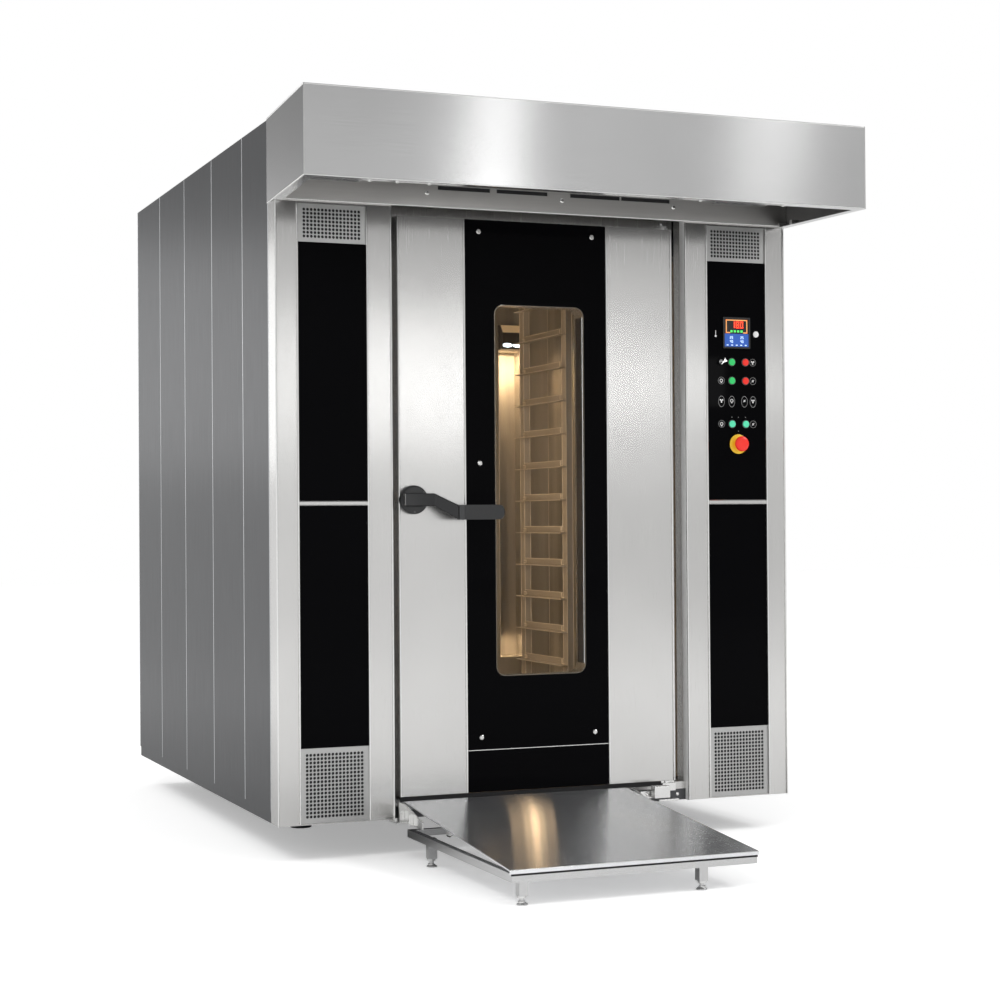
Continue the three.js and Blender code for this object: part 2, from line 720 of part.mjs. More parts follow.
function lowerGlass(x) {
  return bayGlass(x, BAY_BOTTOM + GRILLE_BOTTOM_H, DIVIDER_BOTTOM);
}

// ---- Control panel ----
const BUTTONS = [
  ["green_button_upper", BUTTON_LEFT_X, BUTTON_ROW_1_Z, GREEN],
  ["red_button_upper", BUTTON_RIGHT_X, BUTTON_ROW_1_Z, RED],
  ["green_button_lower", BUTTON_LEFT_X, BUTTON_ROW_2_Z, GREEN],
  ["red_button_lower", BUTTON_RIGHT_X, BUTTON_ROW_2_Z, RED],
  ["teal_button_left", BUTTON_LEFT_X, BUTTON_ROW_4_Z, TEAL],
  ["teal_button_right", BUTTON_RIGHT_X, BUTTON_ROW_4_Z, TEAL],
];

function bezel(x, z, bore) {
  const ring = rodY(x, z, BEZEL_R, BAY_RECESS - BEZEL_T, BAY_FACE_Y, BUTTON_SIDES);
  return [ring, rodY(x, z, bore, BAY_RECESS - BEZEL_T - 1, BAY_FACE_Y + 1, BUTTON_SIDES)];
}

function controlPanel() {
  const bore = boreRadius(BUTTON_R, SLIDE_GAP, BUTTON_SIDES);
  const keyBore = boreRadius(KEY_BODY_R, SLIDE_GAP, BUTTON_SIDES);
  const estopBore = boreRadius(ESTOP_NECK_R, SLIDE_GAP, BUTTON_SIDES);
  const fittings = BUTTONS.map(([, dx, z]) => bezel(BAY_X + dx, BASE_Z + z, bore));
  fittings.push(bezel(BAY_X + KEY_X, BASE_Z + BUTTON_ROW_1_Z, keyBore));
  const panel = upperGlass(BAY_X);
  const raised = join(panel, ...fittings.map(([ring]) => ring));
  const dx = BAY_X + DISPLAY_X;
  const dz = BASE_Z + DISPLAY_Z;
  const hw = DISPLAY_W / 2 - DISPLAY_FRAME;
  const hh = DISPLAY_H / 2 - DISPLAY_FRAME;
  return cut(
    raised,
    ...fittings.map(([, hole]) => hole),
    rodY(BAY_X + ESTOP_X, BASE_Z + ESTOP_Z, estopBore, 0, BAY_FACE_Y + 1, BUTTON_SIDES),
    box(dx - hw - GAP, dx + hw + GAP, 0, BAY_FACE_Y + 1, dz - hh - GAP, dz + hh + GAP),
  );
}

function pushButton(dx, z) {
  const face = BAY_RECESS - BEZEL_T - BUTTON_PROUD;
  const flange = BAY_FACE_Y + GAP;
  const profile = [
    [0, face],
    [BUTTON_R - BUTTON_EDGE, face],
    [BUTTON_R, face + BUTTON_EDGE],
    [BUTTON_R, flange],
    [BUTTON_R + BUTTON_FLANGE, flange],
    [BUTTON_R + BUTTON_FLANGE, flange + BUTTON_FLANGE],
    [0, flange + BUTTON_FLANGE],
  ];
  return turnedY(profile, BAY_X + dx, 0, BASE_Z + z, BUTTON_SIDES);
}

function keySwitch() {
  const x = BAY_X + KEY_X;
  const z = BASE_Z + BUTTON_ROW_1_Z;
  const face = BAY_RECESS - BEZEL_T - 1;
  const flange = BAY_FACE_Y + GAP;
  const profile = [
    [0, face],
    [KEY_BODY_R, face],
    [KEY_BODY_R, flange],
    [KEY_BODY_R + BUTTON_FLANGE, flange],
    [KEY_BODY_R + BUTTON_FLANGE, flange + KEY_CASE_D],
    [0, flange + KEY_CASE_D],
  ];
  const bow = roundedRectangle(x, z, KEY_BOW_W, KEY_BOW_H, KEY_BOW_R);
  return join(turnedY(profile, x, 0, z, BUTTON_SIDES), prismY(bow, face - KEY_BOW_D, face + 1, 3));
}

function estopButton() {
  const face = BAY_RECESS - ESTOP_TRAVEL - ESTOP_NECK_L - ESTOP_HEAD_T;
  const neck = face + ESTOP_HEAD_T;
  const flange = BAY_FACE_Y + GAP;
  const profile = [
    [0, face],
    [ESTOP_CROWN_R, face + 1],
    [ESTOP_SHOULDER_R, face + ESTOP_SHOULDER_D],
    [ESTOP_HEAD_R, face + ESTOP_RIM_D],
    [ESTOP_SHOULDER_R, neck],
    [ESTOP_NECK_R, neck],
    [ESTOP_NECK_R, flange],
    [ESTOP_NECK_R + BUTTON_FLANGE, flange],
    [ESTOP_NECK_R + BUTTON_FLANGE, flange + ESTOP_CASE_D],
    [0, flange + ESTOP_CASE_D],
  ];
  return turnedY(profile, BAY_X + ESTOP_X, 0, BASE_Z + ESTOP_Z, ROD_SIDES);
}

function displayModule() {
  const x = BAY_X + DISPLAY_X;
  const z = BASE_Z + DISPLAY_Z;
  const hw = DISPLAY_W / 2 - DISPLAY_FRAME;
  const hh = DISPLAY_H / 2 - DISPLAY_FRAME;
  const face = BAY_RECESS - GAP - DISPLAY_PROUD;
  const rim = prismY(roundedRectangle(x, z, DISPLAY_W, DISPLAY_H, DISPLAY_R), face, BAY_RECESS - GAP, 2);
  const housing = box(x - hw, x + hw, face, BAY_RECESS + DISPLAY_DEPTH, z - hh, z + hh);
  return cut(join(rim, housing), box(x - hw, x + hw, face - 1, face + DISPLAY_SINK, z - hh, z + hh));
}

// ---- Hood ----
// Half of the hood's width at a given Y: its side plates run out from the body to the front corners.
function hoodHalf(y) {
  const rear = HALF_W + GAP + SHEET;
  const front = HALF_W + HOOD_FLARE;
  return rear + ((front - rear) * (HOOD_BACK_Y - y)) / (HOOD_BACK_Y + HOOD_REACH);
}

// Folded canopy: front and side plates on a top plate, with a flange turned in along the bottom.
function hoodShell() {
  const front = -HOOD_REACH;
  const back = HOOD_BACK_Y;
  const rimBack = -BAFFLE_STANDOFF - GAP;
  const skirt = mirrored([
    [hoodHalf(front + SHEET) - SHEET, front + SHEET],
    [hoodHalf(back) - SHEET, back],
    [hoodHalf(back), back],
    [hoodHalf(front), front],
  ]);
  const rim = mirrored([
    [hoodHalf(front) - HOOD_FLANGE, front + HOOD_FLANGE],
    [hoodHalf(rimBack) - HOOD_FLANGE, rimBack],
    [hoodHalf(rimBack) - 1, rimBack],
    [hoodHalf(front) - 1, front + 1],
  ]);
  const top = mirrored([
    [hoodHalf(front), front],
    [hoodHalf(back), back],
  ]);
  return join(
    prismZ(skirt, HOOD_BOTTOM, HOOD_TOP),
    prismZ(rim, HOOD_BOTTOM, HOOD_BOTTOM + SHEET),
    prismZ(top, HOOD_TOP - SHEET, HOOD_TOP),
  );
}

// The upright plate behind the hood: a folded lip at the bottom, pairs of long slots above it.
function hoodBaffle() {
  const half = hoodHalf(-GAP) - SHEET - GAP;
  const face = -BAFFLE_STANDOFF;
  const bottom = HOOD_BOTTOM + SHEET + GAP;
  const section = outline([
    [face, HOOD_TOP - SHEET - GAP],
    [face, bottom],
    [-GAP, bottom],
    [-GAP, bottom + SHEET],
    [face + SHEET, bottom + SHEET],
    [face + SHEET, HOOD_TOP - SHEET - GAP],
  ]);
  const z = bottom + BAFFLE_SLOT_Z;
  const slots = BAFFLE_SLOT_PLACES.map((x) =>
    box(x - BAFFLE_SLOT_W / 2, x + BAFFLE_SLOT_W / 2, face - 1, face + SHEET + 1, z, z + BAFFLE_SLOT_H),
  );
  return cut(prismX(section, -half, half), ...slots);
}

// ---- Door frame and hinges ----
// The frame stands behind the door. It closes the space up to the roof and its sill reaches
// forward under the door.
function doorFrame() {
  const half = DOORWAY_HALF - GAP;
  const open = DOORWAY_HALF - FRAME_W;
  const plate = box(-half, half, FRAME_Y, FRAME_BACK_Y, WALL_BOTTOM, ROOF_UNDER);
  const opening = roundedRectangle(
    0,
    (CHAMBER_FLOOR + CHAMBER_TOP) / 2,
    2 * open,
    CHAMBER_TOP - CHAMBER_FLOOR,
    WINDOW_R,
  );
  const sill = box(-half, half, SILL_Y, FRAME_Y + 1, WALL_BOTTOM, SILL_TOP);
  const headerZ = DOOR_TOP + HEADER_RISE;
  const header = box(-half, half, SHEET, FRAME_Y + 1, headerZ, headerZ + SHEET);
  const ring = cut(plate, prismY(opening, FRAME_Y - 1, FRAME_BACK_Y + 1, 3));
  return join(ring, sill, header);
}

// The top bracket hangs from the frame and its pin points down into the door.
function topHinge() {
  const z0 = DOOR_TOP + WASHER_H;
  const plate = outline([
    [PIVOT_X - HINGE_PLATE_W / 2, FRAME_Y - GAP],
    [PIVOT_X - HINGE_PLATE_W / 2, PIVOT_Y],
    [PIVOT_X - HINGE_PLATE_W / 4, 0],
    [PIVOT_X + HINGE_PLATE_W / 4, 0],
    [PIVOT_X + HINGE_PLATE_W / 2, PIVOT_Y],
    [PIVOT_X + HINGE_PLATE_W / 2, FRAME_Y - GAP],
  ]);
  return join(
    prismZ(plate, z0, z0 + HINGE_PLATE_T),
    rodZ(PIVOT_X, PIVOT_Y, WASHER_R, DOOR_TOP + GAP, z0 + 1),
    rodZ(PIVOT_X, PIVOT_Y, PIN_R, DOOR_TOP - PIN_L, z0 + HINGE_PLATE_T + PIN_STUB),
  );
}

// The bottom bracket stands on the sill, and the door rests on its washer.
function bottomHinge() {
  const z0 = SILL_TOP + GAP;
  const foot = outline([
    [PIVOT_X - HINGE_PLATE_W / 2, FRAME_Y - GAP],
    [PIVOT_X - HINGE_PLATE_W / 2, 0],
    [PIVOT_X + HINGE_PLATE_W / 2, 0],
    [PIVOT_X + HINGE_PLATE_W / 2, FRAME_Y - GAP],
  ]);
  const plateTop = Math.min(z0 + HINGE_PLATE_T, DOOR_BOTTOM - 1);
  const block = box(
    PIVOT_X - HINGE_PLATE_W / 2,
    PIVOT_X + HINGE_PLATE_W / 2,
    -HINGE_BLOCK_H / 2,
    SILL_Y - GAP,
    z0 - HINGE_BLOCK_H,
    z0 + 1,
  );
  return join(
    prismZ(foot, z0, plateTop),
    block,
    rodZ(PIVOT_X, PIVOT_Y, WASHER_R, z0, DOOR_BOTTOM - GAP),
    rodZ(PIVOT_X, PIVOT_Y, PIN_R, z0, DOOR_BOTTOM + PIN_L),
  );
}

// ---- Door ----
const STUDS = [
  [GLASS_LEFT + STUD_INSET_X, DOOR_TOP - STUD_INSET_Z],
  [GLASS_RIGHT - STUD_INSET_X, DOOR_TOP - STUD_INSET_Z],
  [GLASS_LEFT + STUD_INSET_X, BASE_Z + STUD_MIDDLE_Z],
  [GLASS_LEFT + STUD_INSET_X, BASE_Z + STUD_BOTTOM_Z],
  [GLASS_RIGHT - STUD_INSET_X, BASE_Z + STUD_BOTTOM_Z],
];

function windowOutline(grow) {
  return roundedRectangle(WINDOW_X, WINDOW_Z, WINDOW_W + 2 * grow, WINDOW_H + 2 * grow, WINDOW_R + grow);
}

function stud(x, z) {
  const profile = [
    [0, -STUD_PROUD],
    [STUD_FACE_R, -STUD_PROUD],
    [STUD_R, -STUD_PROUD / 2],
    [STUD_R, -GAP],
    [STUD_SHANK_R, -GAP],
    [STUD_SHANK_R, GLASS_T + 1],
    [0, GLASS_T + 1],
  ];
  return turnedY(profile, x, 0, z, STUD_SIDES);
}

function doorLeaf() {
  const b = DOOR_BEVEL;
  const plan = outline([
    [DOOR_LEFT, DOOR_T],
    [DOOR_LEFT, b],
    [DOOR_LEFT + b, 0],
    [GLASS_LEFT - b, 0],
    [GLASS_LEFT, b],
    [GLASS_LEFT, GLASS_T + GAP],
    [GLASS_RIGHT, GLASS_T + GAP],
    [GLASS_RIGHT, b],
    [GLASS_RIGHT + b, 0],
    [DOOR_RIGHT - b, 0],
    [DOOR_RIGHT, b],
    [DOOR_RIGHT, DOOR_T],
  ]);
  const pinBore = boreRadius(PIN_R, RUN_GAP, ROD_SIDES);
  const shaftBore = boreRadius(HANDLE_SHAFT_R, RUN_GAP, ROD_SIDES);
  const bored = cut(
    prismZ(plan, DOOR_BOTTOM, DOOR_TOP),
    prismY(windowOutline(0), -1, DOOR_T + 1, 3),
    prismY(windowOutline(INNER_PANE_LAP), DOOR_T - GLASS_T - GAP, DOOR_T + 1, 3),
    rodZ(PIVOT_X, PIVOT_Y, pinBore, DOOR_TOP - PIN_L - PIN_ROOM, DOOR_TOP + 1),
    rodZ(PIVOT_X, PIVOT_Y, pinBore, DOOR_BOTTOM - 1, DOOR_BOTTOM + PIN_L + PIN_ROOM),
    rodY(HANDLE_PIVOT_X, HANDLE_PIVOT_Z, shaftBore, -1, HANDLE_SHAFT_L),
  );
  return join(bored, ...STUDS.map(([x, z]) => stud(x, z)));
}

function doorFrontGlass() {
  const sheet = box(GLASS_LEFT + GAP, GLASS_RIGHT - GAP, 0, GLASS_T, DOOR_BOTTOM, DOOR_TOP);
  const holes = STUDS.map(([x, z]) => rodY(x, z, STUD_SHANK_R + 2 * GAP, -1, GLASS_T + 1, STUD_SIDES));
  const jointZ = BASE_Z + GLASS_JOINT_Z;
  const joint = box(GLASS_LEFT, GLASS_RIGHT, -1, GLASS_JOINT / 2, jointZ, jointZ + GLASS_JOINT);
  return cut(sheet, prismY(windowOutline(0), -1, GLASS_T + 1, 3), joint, ...holes);
}

function doorWindowGlass() {
  return prismY(windowOutline(-GAP), 0, GLASS_T, 3);
}

function doorInnerGlass() {
  return prismY(windowOutline(INNER_PANE_LAP - GAP), DOOR_T - GLASS_T, DOOR_T, 3);
}

function doorGasket() {
  const x0 = DOOR_LEFT + GASKET_INSET;
  const x1 = DOOR_RIGHT - GASKET_INSET;
  const z0 = DOOR_BOTTOM + GASKET_BOTTOM;
  const z1 = DOOR_TOP - GASKET_INSET;
  const loop = (inset) =>
    roundedRectangle(
      (x0 + x1) / 2,
      (z0 + z1) / 2,
      x1 - x0 - 2 * inset,
      z1 - z0 - 2 * inset,
      GASKET_R - inset,
    );
  const ring = loop(0);
  ring.holes.push(loop(GASKET_W));
  return prismY(ring, SEAL_Y, SEAL_Y + GASKET_T, 3);
}

// ---- Handle ----
function handleRosette() {
  const bore = boreRadius(HANDLE_SHAFT_R, RUN_GAP, ROD_SIDES);
  const profile = [
    [0, -ROSETTE_T],
    [ROSETTE_R - ROSETTE_EDGE, -ROSETTE_T],
    [ROSETTE_R, -ROSETTE_T + ROSETTE_EDGE],
    [ROSETTE_R, -GAP],
    [0, -GAP],
  ];
  const disc = turnedY(profile, HANDLE_PIVOT_X, 0, HANDLE_PIVOT_Z, ROSETTE_SIDES);
  return cut(disc, rodY(HANDLE_PIVOT_X, HANDLE_PIVOT_Z, bore, -ROSETTE_T - 1, 1));
}

// A bar lofted through stations of [x, standoff, z, height, thickness]. Its section is an upright
// rectangle with small bevels, square to the bar's path as seen from above.
function loftedBar(stations) {
  const rings = stations.map(([x, standoff, z, height, thickness], i) => {
    const before = stations[Math.max(i - 1, 0)];
    const after = stations[Math.min(i + 1, stations.length - 1)];
    const along = new THREE.Vector2(after[0] - before[0], before[1] - after[1]).normalize();
    const b = Math.min(LEVER_BEVEL, thickness / 4);
    const section = [
      [thickness / 2, height / 2 - b],
      [thickness / 2 - b, height / 2],
      [-thickness / 2 + b, height / 2],
      [-thickness / 2, height / 2 - b],
      [-thickness / 2, -height / 2 + b],
      [-thickness / 2 + b, -height / 2],
      [thickness / 2 - b, -height / 2],
      [thickness / 2, -height / 2 + b],
    ];
    return section.map(([t, h]) => [x + along.y * t, -standoff - along.x * t, z + h]);
  });
  const positions = rings.flat(2);
  const n = rings[0].length;
  const index = [];
  for (let i = 0; i + 1 < rings.length; i++)
    for (let k = 0; k < n; k++) {
      const a = i * n + k;
      const b = i * n + ((k + 1) % n);
      index.push(a, b, a + n, b, b + n, a + n);
    }
  const last = (rings.length - 1) * n;
  for (let k = 1; k + 1 < n; k++) {
    index.push(0, k + 1, k);
    index.push(last, last + k, last + k + 1);
  }
  const geometry = new THREE.BufferGeometry();
  geometry.setAttribute("position", new THREE.BufferAttribute(new Float32Array(positions), 3));
  geometry.setIndex(index);
  const made = solid(geometry);
  if (made.volume() > 0) return made;
  for (let i = 0; i < index.length; i += 3) [index[i + 1], index[i + 2]] = [index[i + 2], index[i + 1]];
  geometry.setIndex(index);
  return solid(geometry);
}

function handleLever() {
  const x = HANDLE_PIVOT_X;
  const z = HANDLE_PIVOT_Z;
  const bend = x + LEVER_FLAT_L;
  const grip = bend + CRANK_L;
  const tip = grip + GRIP_L;
  const low = z - GRIP_DROP;
  const bar = loftedBar([
    [x - LEVER_BACK_L, LEVER_STANDOFF, z, LEVER_H, LEVER_T],
    [bend, LEVER_STANDOFF, z, LEVER_H, LEVER_T],
    [bend + LEVER_T / 2, LEVER_STANDOFF, z - LEVER_BEVEL, LEVER_H, CRANK_T],
    [grip, GRIP_STANDOFF, low, GRIP_H, CRANK_T],
    [grip + GRIP_COLLAR_L, GRIP_STANDOFF, low, GRIP_H, GRIP_T],
    [tip - GRIP_TIP_L, GRIP_STANDOFF, low, GRIP_H, GRIP_T],
    [tip, GRIP_STANDOFF, low, GRIP_H * GRIP_TIP_SHARE, GRIP_T * GRIP_TIP_SHARE],
  ]);
  const hub = rodY(x, z, LEVER_H / 2, -LEVER_STANDOFF, -ROSETTE_T - GAP);
  const shaft = rodY(x, z, HANDLE_SHAFT_R, -LEVER_STANDOFF, HANDLE_SHAFT_L - PIN_ROOM);
  return join(bar, hub, shaft);
}

// ---- Chamber ----
function chamberSideWall(side) {
  const x0 = side * CHAMBER_HALF_W;
  const x1 = side * (CHAMBER_HALF_W + CHAMBER_WALL_T);
  const wall = box(
    Math.min(x0, x1),
    Math.max(x0, x1),
    CHAMBER_FRONT_Y,
    CHAMBER_BACK_Y - GAP,
    WALL_BOTTOM,
    CHAMBER_TOP,
  );
  if (side > 0) return wall;
  const slots = Array.from({ length: LOUVRES }, (_, i) => {
    const z = BASE_Z + LOUVRE_FIRST_Z + i * LOUVRE_PITCH;
    return box(
      Math.min(x0, x1) - 1,
      Math.max(x0, x1) + 1,
      RACK_Y - LOUVRE_L / 2,
      RACK_Y + LOUVRE_L / 2,
      z,
      z + LOUVRE_H,
    );
  });
  return cut(wall, ...slots);
}

// The rear wall holds an upright air duct: a niche that is open to the chamber.
function chamberRearWall() {
  const half = CHAMBER_HALF_W + CHAMBER_WALL_T;
  const back = CHAMBER_BACK_Y + CHAMBER_WALL_T;
  const bottom = BASE_Z + DUCT_BOTTOM_Z;
  const top = BASE_Z + DUCT_TOP_Z;
  const fanHole = rodY(0, BASE_Z + FAN_Z, FAN_R * FAN_INLET_SHARE, CHAMBER_BACK_Y - 1, back + 1, FAN_SIDES);
  const wall = box(-half, half, CHAMBER_BACK_Y, back, WALL_BOTTOM, CHAMBER_TOP);
  const duct = box(
    DUCT_X - DUCT_W / 2 - SHEET,
    DUCT_X + DUCT_W / 2 + SHEET,
    back - 1,
    back + DUCT_D,
    bottom - SHEET,
    top + SHEET,
  );
  const niche = box(
    DUCT_X - DUCT_W / 2,
    DUCT_X + DUCT_W / 2,
    CHAMBER_BACK_Y - 1,
    back + DUCT_D - SHEET,
    bottom,
    top,
  );
  return cut(join(wall, duct), fanHole, niche);
}

function chamberCeiling() {
  const half = CHAMBER_HALF_W + CHAMBER_WALL_T;
  const plate = box(
    -half,
    half,
    CHAMBER_FRONT_Y,
    CHAMBER_BACK_Y + CHAMBER_WALL_T,
    CHAMBER_TOP + GAP,
    CHAMBER_TOP + GAP + CHAMBER_WALL_T,
  );
  const hole = rodZ(0, RACK_Y, DRIVE_SHAFT_R + 2, CHAMBER_TOP, CHAMBER_TOP + CHAMBER_WALL_T + 1);
  return cut(plate, hole);
}

function chamberFloor() {
  const half = CHAMBER_HALF_W - GAP;
  const plate = box(-half, half, CHAMBER_FRONT_Y, CHAMBER_BACK_Y - GAP, WALL_BOTTOM, CHAMBER_FLOOR);
  const room = TURNTABLE_R + TURNTABLE_GAP;
  return cut(plate, rodZ(0, RACK_Y, room, BASE_Z, CHAMBER_FLOOR + 1, TURNTABLE_SIDES));
}

// A wedge-shaped housing above the duct with its glass turned down to the duct.
function chamberLamp() {
  const z0 = BASE_Z + DUCT_TOP_Z + SHEET;
  const z1 = z0 + LAMP_H;
  const wall = CHAMBER_BACK_Y - GAP;
  const [footD, footH] = LAMP_FOOT;
  const section = outline([
    [wall, z0],
    [wall, z1],
    [wall - LAMP_TOP_D, z1],
    [wall - LAMP_D, z1 - LAMP_SLOPE_H],
    [wall - LAMP_D, z0 + footH],
    [wall - LAMP_D + footD, z0],
  ]);
  return prismX(section, DUCT_X - DUCT_W / 2, DUCT_X + DUCT_W / 2);
}

// ---- Turntable and rack ----
function turntable() {
  const top = CHAMBER_FLOOR;
  const [rimW, rimH] = TURNTABLE_RIM;
  const under = top - TURNTABLE_T;
  const profile = [
    [0, WALL_BOTTOM],
    [SPINDLE_R, WALL_BOTTOM],
    [SPINDLE_R, under],
    [TURNTABLE_R - rimW, under],
    [TURNTABLE_R - rimW, under - rimH],
    [TURNTABLE_R, under - rimH],
    [TURNTABLE_R, top],
    [0, top],
  ];
  return turned(profile, 0, RACK_Y, TURNTABLE_SIDES);
}

// One ladder of the rack: two posts, a rail at the top and the bottom, and a folded runner at
// each level with its shelf towards the other ladder.
function rackSide(side) {
  const outer = (side * RACK_W) / 2;
  const inner = outer - side * POST_W;
  const [x0, x1] = [Math.min(outer, inner), Math.max(outer, inner)];
  const front = RACK_Y - RACK_D / 2;
  const back = RACK_Y + RACK_D / 2;
  const parts = [
    box(x0, x1, front, front + POST_D, RACK_BOTTOM, RACK_TOP),
    box(x0, x1, back - POST_D, back, RACK_BOTTOM, RACK_TOP),
    box(x0, x1, front + 1, back - 1, RACK_TOP - RACK_RAIL_H, RACK_TOP),
    box(x0, x1, front + 1, back - 1, RACK_BOTTOM + RACK_RAIL_H, RACK_BOTTOM + 2 * RACK_RAIL_H),
  ];
  const s = side * RUNNER_T;
  for (let i = 0; i < LEVELS; i++) {
    const z = BASE_Z + FIRST_LEVEL_Z + i * LEVEL_PITCH - RUNNER_H / 2;
    const shelf = inner - side * RUNNER_W;
    const runner = outline([
      [inner + s, z],
      [inner + s, z + RUNNER_H],
      [inner, z + RUNNER_H],
      [inner, z + RUNNER_T],
      [shelf, z + RUNNER_T],
      [shelf, z],
    ]);
    parts.push(prismY(runner, front + 2, back - 2));
  }
  return join(...parts);
}

// Cross bars between the ladders, with a central hub that the drive shaft turns.
function rackTopFrame() {
  const half = RACK_W / 2 - POST_W - GAP;
  const front = RACK_Y - RACK_D / 2 + 1;
  const back = RACK_Y + RACK_D / 2 - 1;
  const z0 = RACK_TOP - RACK_RAIL_H;
  return join(
    box(-half, half, front, front + POST_D, z0, RACK_TOP),
    box(-half, half, back - POST_D, back, z0, RACK_TOP),
    box(-POST_D, POST_D, front, back, z0, RACK_TOP),
    rodZ(0, RACK_Y, RACK_HUB_R, z0, RACK_TOP + RACK_HUB_RISE),
    rodZ(0, RACK_Y, DRIVE_SHAFT_R, z0, CHAMBER_TOP + CHAMBER_WALL_T + DRIVE_SHAFT_TOP),
  );
}

function rackBaseFrame() {
  const half = RACK_W / 2 - POST_W - GAP;
  const front = RACK_Y - RACK_D / 2 + 1;
  const back = RACK_Y + RACK_D / 2 - 1;
  const z0 = RACK_BOTTOM;
  const z1 = z0 + RACK_RAIL_H;
  return join(
    box(-half, half, front, front + POST_D, z0, z1),
    box(-half, half, back - POST_D, back, z0, z1),
    box(-POST_D, POST_D, front, back, z0, z1),
  );
}

// Gear housing on the chamber's ceiling with its motor lying beside it.
function rackDriveMotor() {
  const z0 = CHAMBER_TOP + CHAMBER_WALL_T + 2 * GAP;
  const z1 = z0 + DRIVE_HOUSING_H;
  const shaftRoom = boreRadius(DRIVE_SHAFT_R, SHAFT_GAP, ROD_SIDES);
  const motorZ = (z0 + z1) / 2;
  const motorEnd = DRIVE_HOUSING_R + DRIVE_MOTOR_L;
  const fins = Array.from({ length: FINS }, (_, i) => {
    const x = DRIVE_HOUSING_R + FIN_FIRST + i * FIN_PITCH;
    return rodX(RACK_Y, motorZ, DRIVE_MOTOR_R + FIN_PROUD, x, x + FIN_W, MOTOR_SIDES);
  });
  const motor = join(
    rodZ(0, RACK_Y, DRIVE_HOUSING_R, z0, z1),
    rodX(RACK_Y, motorZ, DRIVE_MOTOR_R, DRIVE_HOUSING_R / 2, motorEnd, MOTOR_SIDES),
    ...fins,
  );
  return cut(motor, rodZ(0, RACK_Y, shaftRoom, z0 - 1, z0 + DRIVE_SHAFT_ROOM));
}

// ---- Heating ----
// A radial fan: a back plate and a front ring with backward-curved blades between them.
function circulationFan() {
  const y0 = CHAMBER_BACK_Y + CHAMBER_WALL_T + FAN_BACK_GAP;
  const y1 = y0 + FAN_W;
  const z = BASE_Z + FAN_Z;
  const inlet = FAN_R * FAN_EYE_SHARE;
  const ring = cut(
    rodY(0, z, FAN_R, y0, y0 + FAN_PLATE_T, FAN_SIDES),
    rodY(0, z, inlet, y0 - 1, y0 + FAN_PLATE_T + 1, FAN_SIDES),
  );
  const bladePoint = (turn, share, offset) => {
    const r = inlet + (FAN_R - FAN_PLATE_T - inlet) * share + offset * BLADE_LEAN;
    const angle = turn - share * BLADE_SWEEP + offset / r;
    return [r * Math.cos(angle), z + r * Math.sin(angle)];
  };
  const blades = Array.from({ length: FAN_BLADES }, (_, i) => {
    const turn = (i / FAN_BLADES) * Math.PI * 2;
    const leading = BLADE_STEPS.map((share) => bladePoint(turn, share, 0));
    const trailing = BLADE_STEPS.map((share) => bladePoint(turn, share, FAN_BLADE_T)).reverse();
    return prismY(outline([...leading, ...trailing]), y0 + 1, y1 - 1);
  });
  return join(
    ring,
    rodY(0, z, FAN_R, y1 - FAN_PLATE_T, y1, FAN_SIDES),
    rodY(0, z, FAN_HUB_R, y1 - FAN_HUB_L, y1),
    rodY(0, z, DRIVE_SHAFT_R, y1 - 1, y1 + FAN_SHAFT_L),
    ...blades,
  );
}

function fanMotor() {
  const y0 = CHAMBER_BACK_Y + CHAMBER_WALL_T + FAN_BACK_GAP + FAN_W + FAN_MOTOR_GAP;
  const y1 = y0 + FAN_MOTOR_L;
  const z = BASE_Z + FAN_Z;
  const r = FAN_MOTOR_R;
  const back = REAR_INNER_Y - GAP;
  const fins = Array.from({ length: FINS }, (_, i) => {
    const y = y0 + FAN_FIN_FIRST + i * FAN_FIN_PITCH;
    return rodY(0, z, r + FAN_FIN_PROUD, y, y + FAN_FIN_W, MOTOR_SIDES);
  });
  const motor = join(
    rodY(0, z, r, y0, y1, MOTOR_SIDES),
    ...fins,
    box(-r, r, y1 - FAN_BRACKET_L, back, z - r, z - r + FAN_BRACKET_T),
    box(-r, r, back - FAN_PLATE_BACK_T, back, z - r, z + r),
  );
  const shaftRoom = boreRadius(DRIVE_SHAFT_R, SHAFT_GAP, ROD_SIDES);
  return cut(motor, rodY(0, z, shaftRoom, y0 - 1, y0 + FAN_SHAFT_L));
}

// A combustion drum on saddles, with a bank of tubes that rises from it into a header.
function heatExchanger() {
  const y = (CHAMBER_BACK_Y + CHAMBER_WALL_T + REAR_INNER_Y) / 2 + DRUM_SETBACK;
  const z = BASE_Z + DRUM_Z;
  const x0 = -DRUM_L / 2;
  const x1 = DRUM_L / 2;
  const headerZ = z + DRUM_R + TUBE_BANK_H;
  const pitch = (DRUM_L - 4 * TUBE_R) / (TUBE_COUNT - 1);
  const tubes = Array.from({ length: TUBE_COUNT }, (_, i) =>
    rodZ(x0 + 2 * TUBE_R + i * pitch, y, TUBE_R, z + DRUM_R - TUBE_SINK, headerZ + 1, TUBE_SIDES),
  );
  const seat = DRUM_R * SADDLE_SHARE;
  const saddles = [x0 + SADDLE_INSET, x1 - SADDLE_INSET - SADDLE_W].map((x) =>
    box(x, x + SADDLE_W, y - seat, y + seat, WALL_BOTTOM, z),
  );
  return join(
    rodX(y, z, DRUM_R, x0, x1, DRUM_SIDES),
    box(x0, x1, y - HEADER_W / 2, y + HEADER_W / 2, headerZ, headerZ + HEADER_H),
    ...tubes,
    ...saddles,
  );
}

// ---- Ramp ----
// The Z of the top of the plate at a given distance in front of the columns.
function rampTop(reach) {
  const share = (reach - RAMP_REAR) / (RAMP_FRONT - RAMP_REAR);
  return BASE_Z + RAMP_REAR_Z + (RAMP_FRONT_Z - RAMP_REAR_Z) * share;
}

